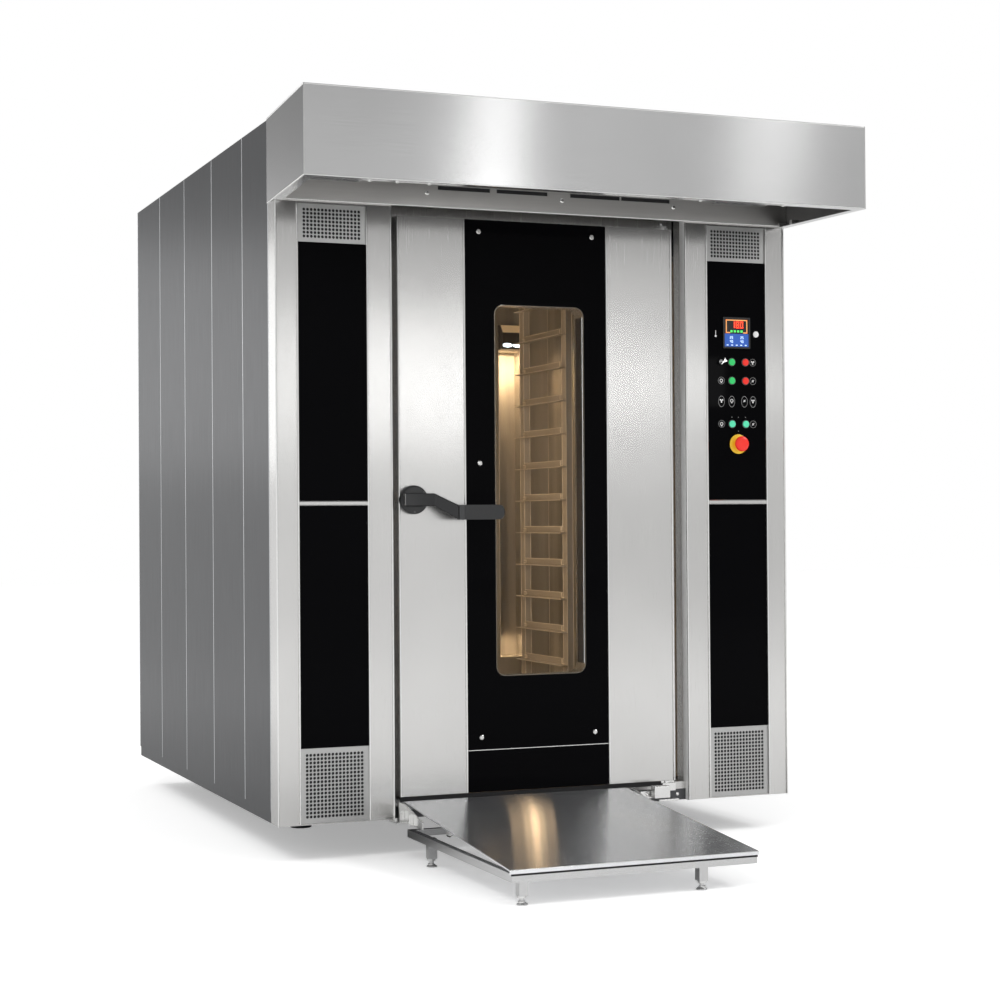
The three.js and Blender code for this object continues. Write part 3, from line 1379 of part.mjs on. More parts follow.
function rampPlate() {
  const front = -RAMP_FRONT;
  const rear = -RAMP_REAR;
  const zf = BASE_Z + RAMP_FRONT_Z;
  const zr = BASE_Z + RAMP_REAR_Z;
  const t = RAMP_PLATE_T;
  const x0 = RAMP_LEFT;
  const x1 = RAMP_LEFT + RAMP_W;
  const profile = outline([
    [rear, zr],
    [front + t / 2, zf],
    [front, zf - t / 2],
    [front, zf - RAMP_LIP],
    [front + t, zf - RAMP_LIP],
    [front + t, zf - t],
    [rear, zr - t],
  ]);
  const ribs = RIB_SHARES.map((share) => {
    const x = x0 + RAMP_W * share;
    const near = RIB_NEAR;
    const far = RAMP_REAR + (RAMP_FRONT - RAMP_REAR) * RIB_SHARE;
    const rib = outline([
      [-near, rampTop(near) - t / 2],
      [-far, rampTop(far) - t / 2],
      [-far + RIB_TAPER, rampTop(far) - 2 * t],
      [-near - RIB_TAPER, rampTop(near) - t - RAMP_RIB_H],
      [-near, rampTop(near) - t - RAMP_RIB_H / 2],
    ]);
    return prismX(rib, x - RIB_T / 2, x + RIB_T / 2);
  });
  const ends = [
    [x0, x0 + RAMP_KNUCKLE_L],
    [x1 - RAMP_KNUCKLE_L, x1],
  ];
  const y = RAMP_HINGE_Y;
  const z = RAMP_HINGE_Z;
  const webTop = rampTop(-y) - t / 2;
  const knuckles = ends.map(([a, b]) => {
    const web = box(a, b, y - KNUCKLE_WEB_T / 2, y + KNUCKLE_WEB_T / 2, z, webTop);
    return join(rodX(y, z, RAMP_KNUCKLE_R, a, b), web);
  });
  const bore = boreRadius(RAMP_HINGE_R, RUN_GAP, RAMP_PIN_SIDES);
  const bores = ends.map(([a, b]) => rodX(y, z, bore, a - 1, b + 1, RAMP_PIN_SIDES));
  return cut(join(prismX(profile, x0, x1), ...ribs, ...knuckles), ...bores);
}

// Angle rails, an upright web with a flange turned in along its top, on square legs.
function rampFrame() {
  const x0 = RAMP_LEFT + RAMP_OVERHANG;
  const x1 = RAMP_LEFT + RAMP_W - RAMP_OVERHANG;
  const y0 = -RAMP_FRONT + 1;
  const y1 = -RAMP_FRAME_REAR;
  const z0 = RAIL_TOP - RAIL_H;
  const angle = (inset, low, high) =>
    box(x0 + inset, x1 - inset, y0 + inset, y1 - inset, low, high);
  const rails = cut(
    angle(0, z0, RAIL_TOP),
    angle(SHEET, z0 - 1, RAIL_TOP - SHEET),
    angle(RAIL_FLANGE, z0 - 1, RAIL_TOP + 1),
  );
  const spots = [
    [x0 + LEG_INSET_LEFT, y0 + SMALL_FOOT_R],
    [x1 - LEG_INSET_RIGHT, y0 + SMALL_FOOT_R],
    [x0 + LEG_W / 2, -LEG_REAR_Y],
    [x1 - LEG_W / 2, -LEG_REAR_Y],
  ];
  const legs = spots.flatMap(([x, y]) => [
    box(x - LEG_W / 2, x + LEG_W / 2, y - LEG_W / 2, y + LEG_W / 2, LEG_BOTTOM_Z, RAIL_TOP - 1),
    footAt(x, y, SMALL_FOOT_R, SMALL_STEM_R, SMALL_PAD_H, LEG_BOTTOM_Z + 1),
  ]);
  return join(rails, ...legs);
}

// ---- Assembly ----
const oven = new THREE.Group();

function place(name, shape, material) {
  oven.add(piece(name, shape, material));
}

place("base_tray", baseTray(), SIDE_STEEL);
const edges = panelEdges();
for (const [word, side] of [
  ["left", -1],
  ["right", 1],
])
  for (let i = 0; i < PANELS_PER_SIDE; i++)
    place(`${word}_panel_${i + 1}`, sidePanel(side, edges[i], edges[i + 1]), SIDE_STEEL);
place("rear_panel", rearPanel(), SIDE_STEEL);
place("roof_panel", roofPanel(), SIDE_STEEL);
place("chamber_left_wall", chamberSideWall(-1), CHAMBER_STEEL);
place("chamber_right_wall", chamberSideWall(1), CHAMBER_STEEL);
place("chamber_rear_wall", chamberRearWall(), CHAMBER_STEEL);
place("chamber_ceiling", chamberCeiling(), CHAMBER_STEEL);
place("chamber_floor", chamberFloor(), CHAMBER_STEEL);
place("chamber_lamp", chamberLamp(), LAMP_GLASS);
place("door_frame", doorFrame(), BRUSHED);
place("left_column", column(-1), BRUSHED);
place("right_column", column(1), BRUSHED);
place("left_top_grille", topGrille(-BAY_X), BRUSHED);
place("left_bottom_grille", bottomGrille(-BAY_X), BRUSHED);
place("right_top_grille", topGrille(BAY_X), BRUSHED);
place("right_bottom_grille", bottomGrille(BAY_X), BRUSHED);
place("left_bay_glass", fullGlass(-BAY_X), BLACK_GLASS);
place("control_panel", controlPanel(), BLACK_GLASS);
place("right_lower_glass", lowerGlass(BAY_X), BLACK_GLASS);
place("display_module", displayModule(), BLACK_PLASTIC);
for (const [name, dx, z, material] of BUTTONS) place(name, pushButton(dx, z), material);
place("key_switch", keySwitch(), BLACK_PLASTIC);
place("estop_button", estopButton(), RED);
place("hood_shell", hoodShell(), BRUSHED);
place("hood_baffle", hoodBaffle(), BRUSHED);
place("top_hinge_bracket", topHinge(), CAST);
place("bottom_hinge_bracket", bottomHinge(), CAST);
place("door_leaf", doorLeaf(), BRUSHED);
place("door_front_glass", doorFrontGlass(), BLACK_GLASS);
place("door_window_glass", doorWindowGlass(), CLEAR_GLASS);
place("door_inner_glass", doorInnerGlass(), CLEAR_GLASS);
place("door_gasket", doorGasket(), SEAL);
place("handle_rosette", handleRosette(), BLACK_PLASTIC);
place("handle_lever", handleLever(), BLACK_PLASTIC);
place("turntable", turntable(), CHAMBER_STEEL);
place("rack_left_side", rackSide(-1), CHAMBER_STEEL);
place("rack_right_side", rackSide(1), CHAMBER_STEEL);
place("rack_top_frame", rackTopFrame(), CHAMBER_STEEL);
place("rack_base_frame", rackBaseFrame(), CHAMBER_STEEL);
place("rack_drive_motor", rackDriveMotor(), CAST);
place("circulation_fan", circulationFan(), CAST);
place("fan_motor", fanMotor(), CAST);
place("heat_exchanger", heatExchanger(), CAST);
place("ramp_frame", rampFrame(), BRUSHED);
place("ramp_plate", rampPlate(), BRUSHED);

// The part's origin is on the floor, under the middle of everything it covers.
oven.position.y = (RAMP_FRONT - BODY_D) / 2;
const part = new THREE.Group();
part.add(oven);

export default part;
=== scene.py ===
"""Looks of the rotating rack oven: its materials, the fine parts of its panel, grilles and hood,
and a plain studio with a camera at the photograph's angle. Metres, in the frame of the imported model:
X to the right of someone facing the oven, -Y to the front, Z up from the floor."""

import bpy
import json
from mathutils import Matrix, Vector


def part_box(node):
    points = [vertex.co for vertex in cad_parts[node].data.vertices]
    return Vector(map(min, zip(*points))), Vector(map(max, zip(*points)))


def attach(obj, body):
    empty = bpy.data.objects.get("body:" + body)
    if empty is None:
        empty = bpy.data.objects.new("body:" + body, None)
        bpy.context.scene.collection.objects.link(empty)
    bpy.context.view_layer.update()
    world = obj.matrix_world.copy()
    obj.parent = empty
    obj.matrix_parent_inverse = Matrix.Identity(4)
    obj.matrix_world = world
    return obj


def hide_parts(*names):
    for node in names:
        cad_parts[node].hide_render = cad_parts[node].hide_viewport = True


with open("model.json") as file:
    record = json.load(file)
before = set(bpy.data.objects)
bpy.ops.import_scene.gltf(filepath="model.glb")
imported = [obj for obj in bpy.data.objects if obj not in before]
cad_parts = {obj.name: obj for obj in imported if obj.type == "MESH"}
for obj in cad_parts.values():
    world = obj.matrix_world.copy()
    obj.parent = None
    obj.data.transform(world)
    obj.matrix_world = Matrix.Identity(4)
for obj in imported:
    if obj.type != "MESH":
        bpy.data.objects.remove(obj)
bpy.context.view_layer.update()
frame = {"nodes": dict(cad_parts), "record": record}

import json
from math import cos, pi, radians, sin

import bpy
from mathutils import Matrix, Vector

MM = 0.001
BASE_Z = 125 * MM
nodes = frame["nodes"]


def add_object(name, data):
    thing = bpy.data.objects.new(name, data)
    bpy.context.collection.objects.link(thing)
    return thing


# ---- Camera, from the fitted perspective of the photograph ----
CAMERA_PLACE = (-2.7639, -7.058, 1.1515)
CAMERA_YAW = 21.99
CAMERA_PITCH = 0.58
CAMERA_ROLL = -0.4
FOCAL_PIXELS = 1971.8
FRAME_PIXELS = 1000
SENSOR = 36


def make_camera():
    data = bpy.data.cameras.new("camera")
    data.sensor_width = SENSOR
    data.lens = FOCAL_PIXELS / FRAME_PIXELS * SENSOR
    data.clip_end = 200
    camera = add_object("camera", data)
    yaw = Matrix.Rotation(radians(-CAMERA_YAW), 4, "Z")
    pitch = Matrix.Rotation(radians(90 + CAMERA_PITCH), 4, "X")
    roll = Matrix.Rotation(radians(CAMERA_ROLL), 4, "Z")
    camera.matrix_world = Matrix.Translation(CAMERA_PLACE) @ yaw @ pitch @ roll
    bpy.context.scene.camera = camera


# ---- Studio ----
FLOOR_SIZE = 60
SKY_FILL = 0.72
SKY_TOP = 0.45
SKY_TURN = (0.1, 0.17)
RIGHT_TURN = (0.35, 0.49)
RIGHT_SHADE = 0.62
FLOOR_ALBEDO = 0.9
FLOOR_GLOW = 0.36
FLOOR_NEAR = (3, 8)
FLOOR_RIGHT = (6, 10)


def plug(tree, node, *inputs, **named):
    """Fills a node's inputs, by place or by name: a value is written there, an output is linked."""
    for key, value in [*enumerate(inputs), *named.items()]:
        socket = node.inputs[key.replace("_", " ") if key in named else key]
        if isinstance(value, bpy.types.NodeSocket):
            tree.links.new(value, socket)
        else:
            socket.default_value = value
    return node


def add_node(tree, kind, *inputs, operation="", **named):
    node = tree.nodes.new(f"ShaderNode{kind}")
    if operation:
        node.operation = operation
    return plug(tree, node, *inputs, **named)


def larger(tree, first, second):
    return add_node(tree, "Math", first, second, operation="MAXIMUM").outputs[0]


def product(tree, first, second):
    return add_node(tree, "Math", first, second, operation="MULTIPLY").outputs[0]


def ramped(tree, value, span, ends):
    """A smooth change between two ends while the value crosses the span."""
    node = add_node(tree, "MapRange", value, *span, *ends)
    node.interpolation_type = "SMOOTHSTEP"
    return node.outputs["Result"]


def make_world():
    """White to the camera. Reflections show white walls, shaded to the right, under a darker
    ceiling, and the rest of the light is a plain level."""
    world = bpy.data.worlds.new("studio")
    bpy.context.scene.world = world
    world.use_nodes = True
    tree = world.node_tree
    tree.nodes.clear()
    path = add_node(tree, "LightPath").outputs
    clear = larger(tree, path["Is Camera Ray"], path["Is Transmission Ray"])
    seen = larger(tree, clear, path["Is Glossy Ray"])
    place = add_node(tree, "TexCoord").outputs["Generated"]
    split = add_node(tree, "SeparateXYZ", place).outputs
    ceiling = ramped(tree, split["Z"], SKY_TURN, (1.0, SKY_TOP))
    right = ramped(tree, split["X"], RIGHT_TURN, (1.0, RIGHT_SHADE))
    walls = product(tree, ceiling, right)
    fill = add_node(tree, "Background", (1, 1, 1, 1), SKY_FILL)
    white = add_node(tree, "Background", (1, 1, 1, 1), larger(tree, clear, walls))
    mix = add_node(tree, "MixShader", seen, fill.outputs[0], white.outputs[0])
    add_node(tree, "OutputWorld", mix.outputs[0])


def make_floor():
    """A white floor that keeps the oven's shadow. Reflections show it darker close by and to the
    far right."""
    material = bpy.data.materials.new("floor")
    material.use_nodes = True
    tree = material.node_tree
    tree.nodes.clear()
    path = add_node(tree, "LightPath").outputs
    place = add_node(tree, "NewGeometry").outputs["Position"]
    x = add_node(tree, "SeparateXYZ", place).outputs["X"]
    far = add_node(tree, "VectorMath", place, operation="LENGTH").outputs["Value"]
    shades = product(tree, ramped(tree, far, FLOOR_NEAR, (0, 1)), ramped(tree, x, FLOOR_RIGHT, (1, 0)))
    shown = larger(tree, path["Is Camera Ray"], product(tree, shades, path["Is Glossy Ray"]))
    glow = add_node(tree, "Emission", (1, 1, 1, 1), product(tree, shown, FLOOR_GLOW))
    diffuse = add_node(tree, "BsdfDiffuse", (FLOOR_ALBEDO,) * 3 + (1,))
    both = add_node(tree, "AddShader", diffuse.outputs[0], glow.outputs[0])
    add_node(tree, "OutputMaterial", both.outputs[0])
    mesh = bpy.data.meshes.new("floor")
    h = FLOOR_SIZE / 2
    mesh.from_pydata([(-h, -h, 0), (h, -h, 0), (h, h, 0), (-h, h, 0)], [], [(0, 1, 2, 3)])
    mesh.materials.append(material)
    floor = add_object("floor", mesh)


# Each lamp: its place, the point that it faces, its width and height, and its power in watts.
LAMPS = {
    "key": ((6.0, -2.6, 6.2), (0, 0, 1.0), 3.0, 2.5, 190),
    "fill": ((-4.4, -3.4, 5.8), (0, 0, 1.0), 2.5, 2.5, 80),
    "band_left": ((1.2, -5.13, 1.98), (-0.1, -0.63, 1.7), 0.24, 0.8, 5.6),
    "band_right": ((2.95, -5.13, 2.0), (0.6, -0.63, 1.7), 0.4, 0.3, 1.3),
    "hood_left": ((1.26, -5.13, 3.5), (-0.1, -1.13, 2.3), 0.3, 0.5, 1.5),
    "hood_right": ((2.95, -5.13, 3.5), (0.6, -1.13, 2.3), 0.4, 0.5, 1.6),
    "hood_wide": ((2.9, -5.14, 3.5), (0.5, -1.13, 2.3), 2.2, 0.5, 2.8),
    "side_card": ((-3.7, 6.0, 2.3), (-0.98, 0, 1.6), 2.0, 1.6, 14),
    "back": ((-4.5, 4.0, 5.5), (0, 1.0, 1.0), 3.0, 2.5, 110),
}
WARM = (1.0, 0.69, 0.39)
GLOW_Z = 0.335
GLOW_H = 0.2
# The glow before the window's foot: X, gap to the glass, width and power of each lamp.
WINDOW_GLOW = {
    "window_core": (-0.033, 8 * MM, 0.028, 0.035),
    "window_glow": (-0.035, 7 * MM, 0.08, 0.05),
    "window_halo": (-0.04, 6 * MM, 0.17, 0.085),
}


def area_lamp(name, place, target, width, height, power, colour=(1, 1, 1)):
    data = bpy.data.lights.new(name, "AREA")
    data.shape = "RECTANGLE"
    data.size = width
    data.size_y = height
    data.energy = power
    data.color = colour
    lamp = add_object(name, data)
    lamp.location = place
    direction = Vector(target) - Vector(place)
    lamp.rotation_euler = direction.to_track_quat("-Z", "Y").to_euler()
    lamp.visible_camera = False
    return lamp


def make_lamps():
    for name, (place, target, width, height, power) in LAMPS.items():
        area_lamp(name, place, target, width, height, power)


def make_chamber_light():
    """The oven's own light: down the air duct from the lamp, a soft strip beside the doorway, and
    what leaves the window towards the ramp."""
    low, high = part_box("chamber_lamp")
    x, wall = (low[0] + high[0]) / 2, high[1]
    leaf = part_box("door_front_glass")[0][1]
    lamps = [
        ("duct_light", (x, wall + 0.035, low[2] - 0.012), (x, wall + 0.06, 0.6), 0.1, 0.04, 4.2),
        ("duct_foot_light", (x, wall + 0.02, 0.66), (x, wall + 0.02, 0.5), 0.1, 0.05, 0.4),
        ("door_side_light", (-0.46, -0.38, 1.25), (-0.05, 1.2, 1.15), 0.2, 1.5, 12),
    ]
    for name, (lamp_x, gap, width, power) in WINDOW_GLOW.items():
        lamps.append((name, (lamp_x, leaf - gap, GLOW_Z), (-0.05, leaf - 0.5, 0.1), width, GLOW_H, power))
    for name, place, target, width, height, power in lamps:
        lamp = area_lamp(name, place, target, width, height, power, WARM)
        lamp.visible_transmission = False
        lamp.visible_glossy = name in WINDOW_GLOW


# ---- Materials ----
def principled(name, colour, roughness, metallic=0.0, **sockets):
    """A material with one Principled shader. Sockets are its other constant values."""
    material = bpy.data.materials.new(name)
    material.use_nodes = True
    tree = material.node_tree
    shader = tree.nodes["Principled BSDF"]
    plug(tree, shader, Base_Color=(*colour, 1), Roughness=roughness, Metallic=metallic, **sockets)
    return material, tree, shader


def object_noise(tree, scale, detail=2.0, roughness=0.5):
    """Noise in the object's own metres, stretched by the scale along each axis."""
    place = add_node(tree, "TexCoord").outputs["Object"]
    mapped = add_node(tree, "Mapping", Vector=place, Scale=scale).outputs[0]
    noise = add_node(tree, "TexNoise", Vector=mapped, Scale=1.0, Detail=detail, Roughness=roughness)
    return noise.outputs["Fac"]


def ranged(tree, value, low, high):
    """A 0 to 1 value spread between low and high."""
    return add_node(tree, "MapRange", value, To_Min=low, To_Max=high).outputs["Result"]


def tinted(tree, colour, shade):
    """The colour times a grey shade."""
    node = tree.nodes.new("ShaderNodeMix")
    node.data_type = "RGBA"
    node.blend_type = "MULTIPLY"
    return plug(tree, node, Factor=1.0, A=(*colour, 1), B=shade).outputs["Result"]


GRAIN_FINE = 700.0
GRAIN_LONG = 5.0
CLOUD = 1.6
BRUSH_BUMP = 0.12
BRUSH_DEPTH = 0.2 * MM
RELIEF_DEPTH = 0.3 * MM


def side_shade(tree, shade):
    """Painted shade: 1 on faces that look ahead, up or down, and a darker shade on those that look sideways."""
    normal = add_node(tree, "NewGeometry").outputs["True Normal"]
    x = add_node(tree, "SeparateXYZ", normal).outputs["X"]
    return ranged(tree, add_node(tree, "Math", x, operation="ABSOLUTE").outputs[0], 1.0, shade)


def brushed_steel(
    name, colour, grain, roughness=0.3, contrast=0.1, cloud=0.12, stretch=0.75, sides=1.0, metal=1.0,
    drift=(CLOUD,) * 3,
):
    """Steel brushed along one axis: long fine streaks, and highlights that spread across them."""
    material, tree, shader = principled(name, colour, roughness, metal, Anisotropic=stretch)
    scale = [GRAIN_FINE] * 3
    scale["XYZ".index(grain)] = GRAIN_LONG
    streaks = object_noise(tree, scale, 3.0, 0.6)
    clouds = object_noise(tree, drift, 3.0, 0.5)
    light = ranged(tree, streaks, 1 - contrast, 1 + contrast)
    broad = ranged(tree, clouds, 1 - cloud, 1 + cloud)
    shade = product(tree, light, broad)
    # Painted shade: faces that look sideways get a darker colour.
    if sides != 1.0:
        shade = product(tree, shade, side_shade(tree, sides))
    gloss = ranged(tree, streaks, roughness * (1 - 2.5 * contrast), roughness * (1 + 3 * contrast))
    bump = add_node(tree, "Bump", Strength=BRUSH_BUMP, Distance=BRUSH_DEPTH, Height=streaks)
    across = add_node(tree, "CombineXYZ", *[float(axis != grain) for axis in "XYZ"])
    plug(tree, shader, Base_Color=tinted(tree, colour, shade), Roughness=gloss)
    plug(tree, shader, Normal=bump.outputs[0], Tangent=across.outputs[0])
    return material


def cloudy(name, colour, roughness, metallic=0.0, scale=30.0, contrast=0.08, bump=0.0, **sockets):
    """A plain finish with small changes of shade and gloss."""
    material, tree, shader = principled(name, colour, roughness, metallic, **sockets)
    noise = object_noise(tree, (scale,) * 3, 4.0, 0.6)
    shade = ranged(tree, noise, 1 - contrast, 1 + contrast)
    gloss = ranged(tree, noise, roughness * 0.85, min(roughness * 1.2, 1))
    plug(tree, shader, Base_Color=tinted(tree, colour, shade), Roughness=gloss)
    if bump:
        relief = add_node(tree, "Bump", Strength=bump, Distance=RELIEF_DEPTH, Height=noise)
        plug(tree, shader, Normal=relief.outputs[0])
    return material


def glowing(name, colour, strength, roughness=0.35):
    """A lit finish, such as a cap or a digit."""
    material, tree, shader = principled(
        name, colour, roughness, Emission_Color=(*colour, 1), Emission_Strength=strength
    )
    noise = object_noise(tree, (60.0,) * 3)
    plug(tree, shader, Base_Color=tinted(tree, colour, ranged(tree, noise, 0.9, 1.1)))
    return material


FRONT = brushed_steel("front_steel", (0.63, 0.625, 0.615), "Z", 0.26, contrast=0.045, stretch=0.87)
# The hood's side faces are darkened in colour: painted shade.
ACROSS = brushed_steel("hood_steel", (0.61, 0.61, 0.61), "X", 0.22, contrast=0.07, stretch=0.9, sides=0.45)
# Painted shade: the side panels' steel is far darker than the same steel at the front.
SHADED_SIDE_STEEL = brushed_steel("side_steel", (0.1, 0.102, 0.106), "Z", 0.36, contrast=0.14, cloud=0.06)
RAMP = brushed_steel("ramp_steel", (0.95, 0.96, 0.98), "X", 0.23, stretch=0.95)
RAIL = brushed_steel("rail_steel", (0.68, 0.68, 0.68), "X", 0.24)
BAFFLE = brushed_steel("baffle_steel", (0.52, 0.51, 0.495), "X", 0.33)
# Painted shade: a near-black finish for sheets and strips put where there is only shade.
PAINTED_SHADE = cloudy("painted_shade", (0.01, 0.01, 0.011), 0.7, scale=40.0)
# Bright polished steel for bolts, brackets and trim; on the folds of the body it is brighter than the faces as
# a painted highlight.
EDGE = cloudy("bright_steel_and_highlight", (0.8, 0.8, 0.79), 0.2, 1.0)
# Painted highlight: steel far brighter than the side panels, for the lines at their joints.
SEAM_HIGHLIGHT = cloudy("seam_painted_highlight", (0.5, 0.51, 0.52), 0.35, 1.0)
GRILLE = cloudy("grille_steel", (0.5, 0.5, 0.495), 0.32, 1.0)
CHAMBER = brushed_steel(
    "chamber_steel", (0.42, 0.395, 0.36), "Z", 0.4, contrast=0.12, cloud=0.6, stretch=0.7,
    metal=0.5, drift=(14.0, 14.0, 0.7),
)
RACK = brushed_steel("rack_steel", (0.5, 0.46, 0.41), "Z", 0.42, cloud=0.5, metal=0.5)
# Warm bright steel for the rack's clips, and for thin rods on the chamber's folds as painted highlights.
CHAMBER_BRIGHT_AND_HIGHLIGHT = cloudy("chamber_edge", (0.85, 0.78, 0.68), 0.35, 0.3)
LAMP_CASE = cloudy("lamp_case", (0.09, 0.08, 0.07), 0.4, 0.3)
RIM = cloudy("window_rim_steel", (0.16, 0.145, 0.12), 0.25, 1.0)
# Painted light: a near-white finish that lightens the right column's shaded return.
PAINTED_LIGHT_SKIN = cloudy("return_painted_light", (0.9, 0.9, 0.89), 0.5, 0.1, scale=20.0, contrast=0.05)
CAST = cloudy("cast_metal", (0.3, 0.31, 0.32), 0.5, 1.0, scale=60.0, bump=0.2)
BLACK_GLASS = cloudy("black_glass", (0.0025, 0.0025, 0.003), 0.04, scale=3.0, Specular_IOR_Level=0.018)
CLEAR_GLASS = cloudy(
    "clear_glass", (0.97, 0.98, 0.98), 0.01, scale=4.0, contrast=0.01, Transmission_Weight=1.0, IOR=1.08,
    Specular_IOR_Level=0.4,
)
BLACK_PLASTIC = cloudy("black_plastic", (0.012, 0.012, 0.013), 0.38, scale=300.0, bump=0.1)
SEAL = cloudy("seal_rubber", (0.03, 0.028, 0.026), 0.7, scale=80.0, bump=0.2)
LAMP_SPOT = glowing("lamp_spot", (0.82, 0.95, 1.0), 4.0)
# Painted light: the slope of the lamp's housing glows warm, though it is no lamp.
LAMP_SLOPE_GLOW = glowing("lamp_slope_glow", (0.85, 0.6, 0.32), 0.22)
GREEN = glowing("green_cap", (0.02, 0.5, 0.12), 0.35)
TEAL = glowing("teal_cap", (0.08, 0.62, 0.36), 0.35)
RED = glowing("red_cap", (0.75, 0.02, 0.01), 0.3)
SATIN_BLACK = cloudy("satin_black", (0.011, 0.0115, 0.0125), 0.3, scale=500.0, bump=0.15)
JOINT_GREY = cloudy("joint_grey", (0.035, 0.036, 0.038), 0.4, scale=300.0)
CHROME = cloudy("chrome", (0.75, 0.75, 0.75), 0.12, 1.0, scale=50.0)
FRAME_GREY = cloudy("display_frame", (0.09, 0.09, 0.09), 0.4, scale=200.0)
SCREEN_BLACK = cloudy("screen_black", (0.012, 0.008, 0.008), 0.15, scale=60.0)
SCREEN_BLUE = glowing("screen_blue", (0.015, 0.07, 0.32), 0.75)
DIGIT_RED = glowing("digit_red", (1.0, 0.06, 0.02), 1.6)
SCREEN_ORANGE = glowing("screen_orange", (0.75, 0.32, 0.1), 0.7)
DIGIT_GREEN = glowing("digit_green", (0.08, 0.65, 0.12), 0.9)
DIGIT_WHITE = glowing("digit_white", (0.55, 0.68, 0.85), 0.8)
YELLOW = cloudy("yellow_disc", (0.95, 0.62, 0.02), 0.4, scale=40.0)
WHITE = glowing("white_print", (0.75, 0.75, 0.75), 0.15)
DIM = glowing("grey_print", (0.28, 0.28, 0.28), 0.05)

SLOT_OF = {
    "brushed": FRONT,
    "side_steel": SHADED_SIDE_STEEL,
    "chamber_steel": CHAMBER,
    "cast": CAST,
    "black_glass": BLACK_GLASS,
    "clear_glass": CLEAR_GLASS,
    "lamp_glass": LAMP_CASE,
    "black_plastic": BLACK_PLASTIC,
    "seal": SEAL,
    "green": GREEN,
    "teal": TEAL,
    "red": RED,
}
OTHER_FINISH = {
    "hood_shell": ACROSS,
    "hood_baffle": BAFFLE,
    "ramp_plate": RAMP,
    "ramp_frame": RAIL,
    **dict.fromkeys(("top_hinge_bracket", "bottom_hinge_bracket"), EDGE),
    **dict.fromkeys(("rack_left_side", "rack_right_side", "rack_top_frame", "rack_base_frame"), RACK),
}


def dress_nodes():
    """Gives each CAD node its material, by its own finish or its slot."""
    for entry in frame["record"]["subparts"]:
        node = nodes[entry["node"]]
        material = OTHER_FINISH.get(entry["node"], SLOT_OF[entry["material_slot"]])
        node.data.materials.clear()
        node.data.materials.append(material)


# ---- Mesh pieces ----
def turns(count):
    """The angles of a full turn in equal steps."""
    return [2 * pi * k / count for k in range(count)]


def circle(x, z, radius, segments=32, stretch=1.0):
    """The (x, z) points of a circle, or of an oval stretched upwards."""
    return [(x + radius * cos(a), z + stretch * radius * sin(a)) for a in turns(segments)]


class Form:
    """Faces gathered for one piece."""

    def __init__(self):
        self.points = []
        self.faces = []

    def add(self, points, faces):
        start = len(self.points)
        self.points += [tuple(p) for p in points]
        self.faces += [tuple(start + i for i in face) for face in faces]

    def box(self, low, high):
        (x0, y0, z0), (x1, y1, z1) = low, high
        points = [(x, y, z) for x in (x0, x1) for y in (y0, y1) for z in (z0, z1)]
        self.add(points, [(0, 1, 3, 2), (4, 6, 7, 5), (0, 4, 5, 1), (2, 3, 7, 6), (0, 2, 6, 4), (1, 5, 7, 3)])

    def loft(self, rings):
        """A closed skin over rings with as many points each."""
        n = len(rings[0])
        last = (len(rings) - 1) * n
        faces = []
        for a in range(0, last, n):
            for k in range(n):
                j = (k + 1) % n
                faces.append((a + k, a + j, a + n + j, a + n + k))
        faces += [tuple(reversed(range(n))), tuple(range(last, last + n))]
        self.add([point for ring in rings for point in ring], faces)

    def prism_y(self, outline, y0, y1):
        """An outline of (x, z) points, from y0 back to y1."""
        self.loft([[(x, y, z) for x, z in outline] for y in (y0, y1)])

    def prism_x(self, outline, x0, x1):
        """An outline of (y, z) points, from x0 across to x1."""
        n = len(outline)
        points = [(x, y, z) for x in (x0, x1) for y, z in outline]
        sides = [(i, n + i, n + (i + 1) % n, (i + 1) % n) for i in range(n)]
        self.add(points, [tuple(range(n)), tuple(reversed(range(n, 2 * n)))] + sides)

    def band_y(self, outer, inner, y0, y1):
        """The ring between two outlines of (x, z) points with as many points each."""
        n = len(outer)
        points = [(x, y, z) for y in (y0, y1) for ring in (outer, inner) for x, z in ring]
        faces = []
        for i in range(n):
            j = (i + 1) % n
            faces += [(i, n + i, n + j, j), (2 * n + i, 2 * n + j, 3 * n + j, 3 * n + i)]
            faces += [(i, j, 2 * n + j, 2 * n + i), (n + i, 3 * n + i, 3 * n + j, n + j)]
        self.add(points, faces)

    def turned_y(self, profile, x, z, segments=40):
        """A turned form about a line along Y. The profile is (radius, y) from its front to its back."""
        points, starts, faces = [], [], []
        for radius, y in profile:
            ring = [(u, y, v) for u, v in circle(x, z, radius, segments)]
            starts.append((len(points), radius))
            points += ring if radius else ring[:1]
        for (a, radius_a), (b, radius_b) in zip(starts, starts[1:]):
            for k in range(segments):
                j = (k + 1) % segments
                if not radius_a:
                    faces.append((a, b + k, b + j))
                elif not radius_b:
                    faces.append((a + k, b, a + j))
                else:
                    faces.append((a + k, b + k, b + j, a + j))
        self.add(points, faces)

    def rod(self, start, end, radius, sides=8):
        """A round rod from start to end."""
        start, end = Vector(start), Vector(end)
        along = (end - start).normalized()
        side = along.orthogonal().normalized()
        up = along.cross(side)
        spokes = [radius * (side * cos(a) + up * sin(a)) for a in turns(sides)]
        self.loft([[centre + spoke for spoke in spokes] for centre in (start, end)])


def box_steps(form, origin, steps):
    """A box between two corners given in mm from the origin."""
    corners = [tuple(start + step * MM for start, step in zip(origin, corner)) for corner in steps]
    form.box(*corners)


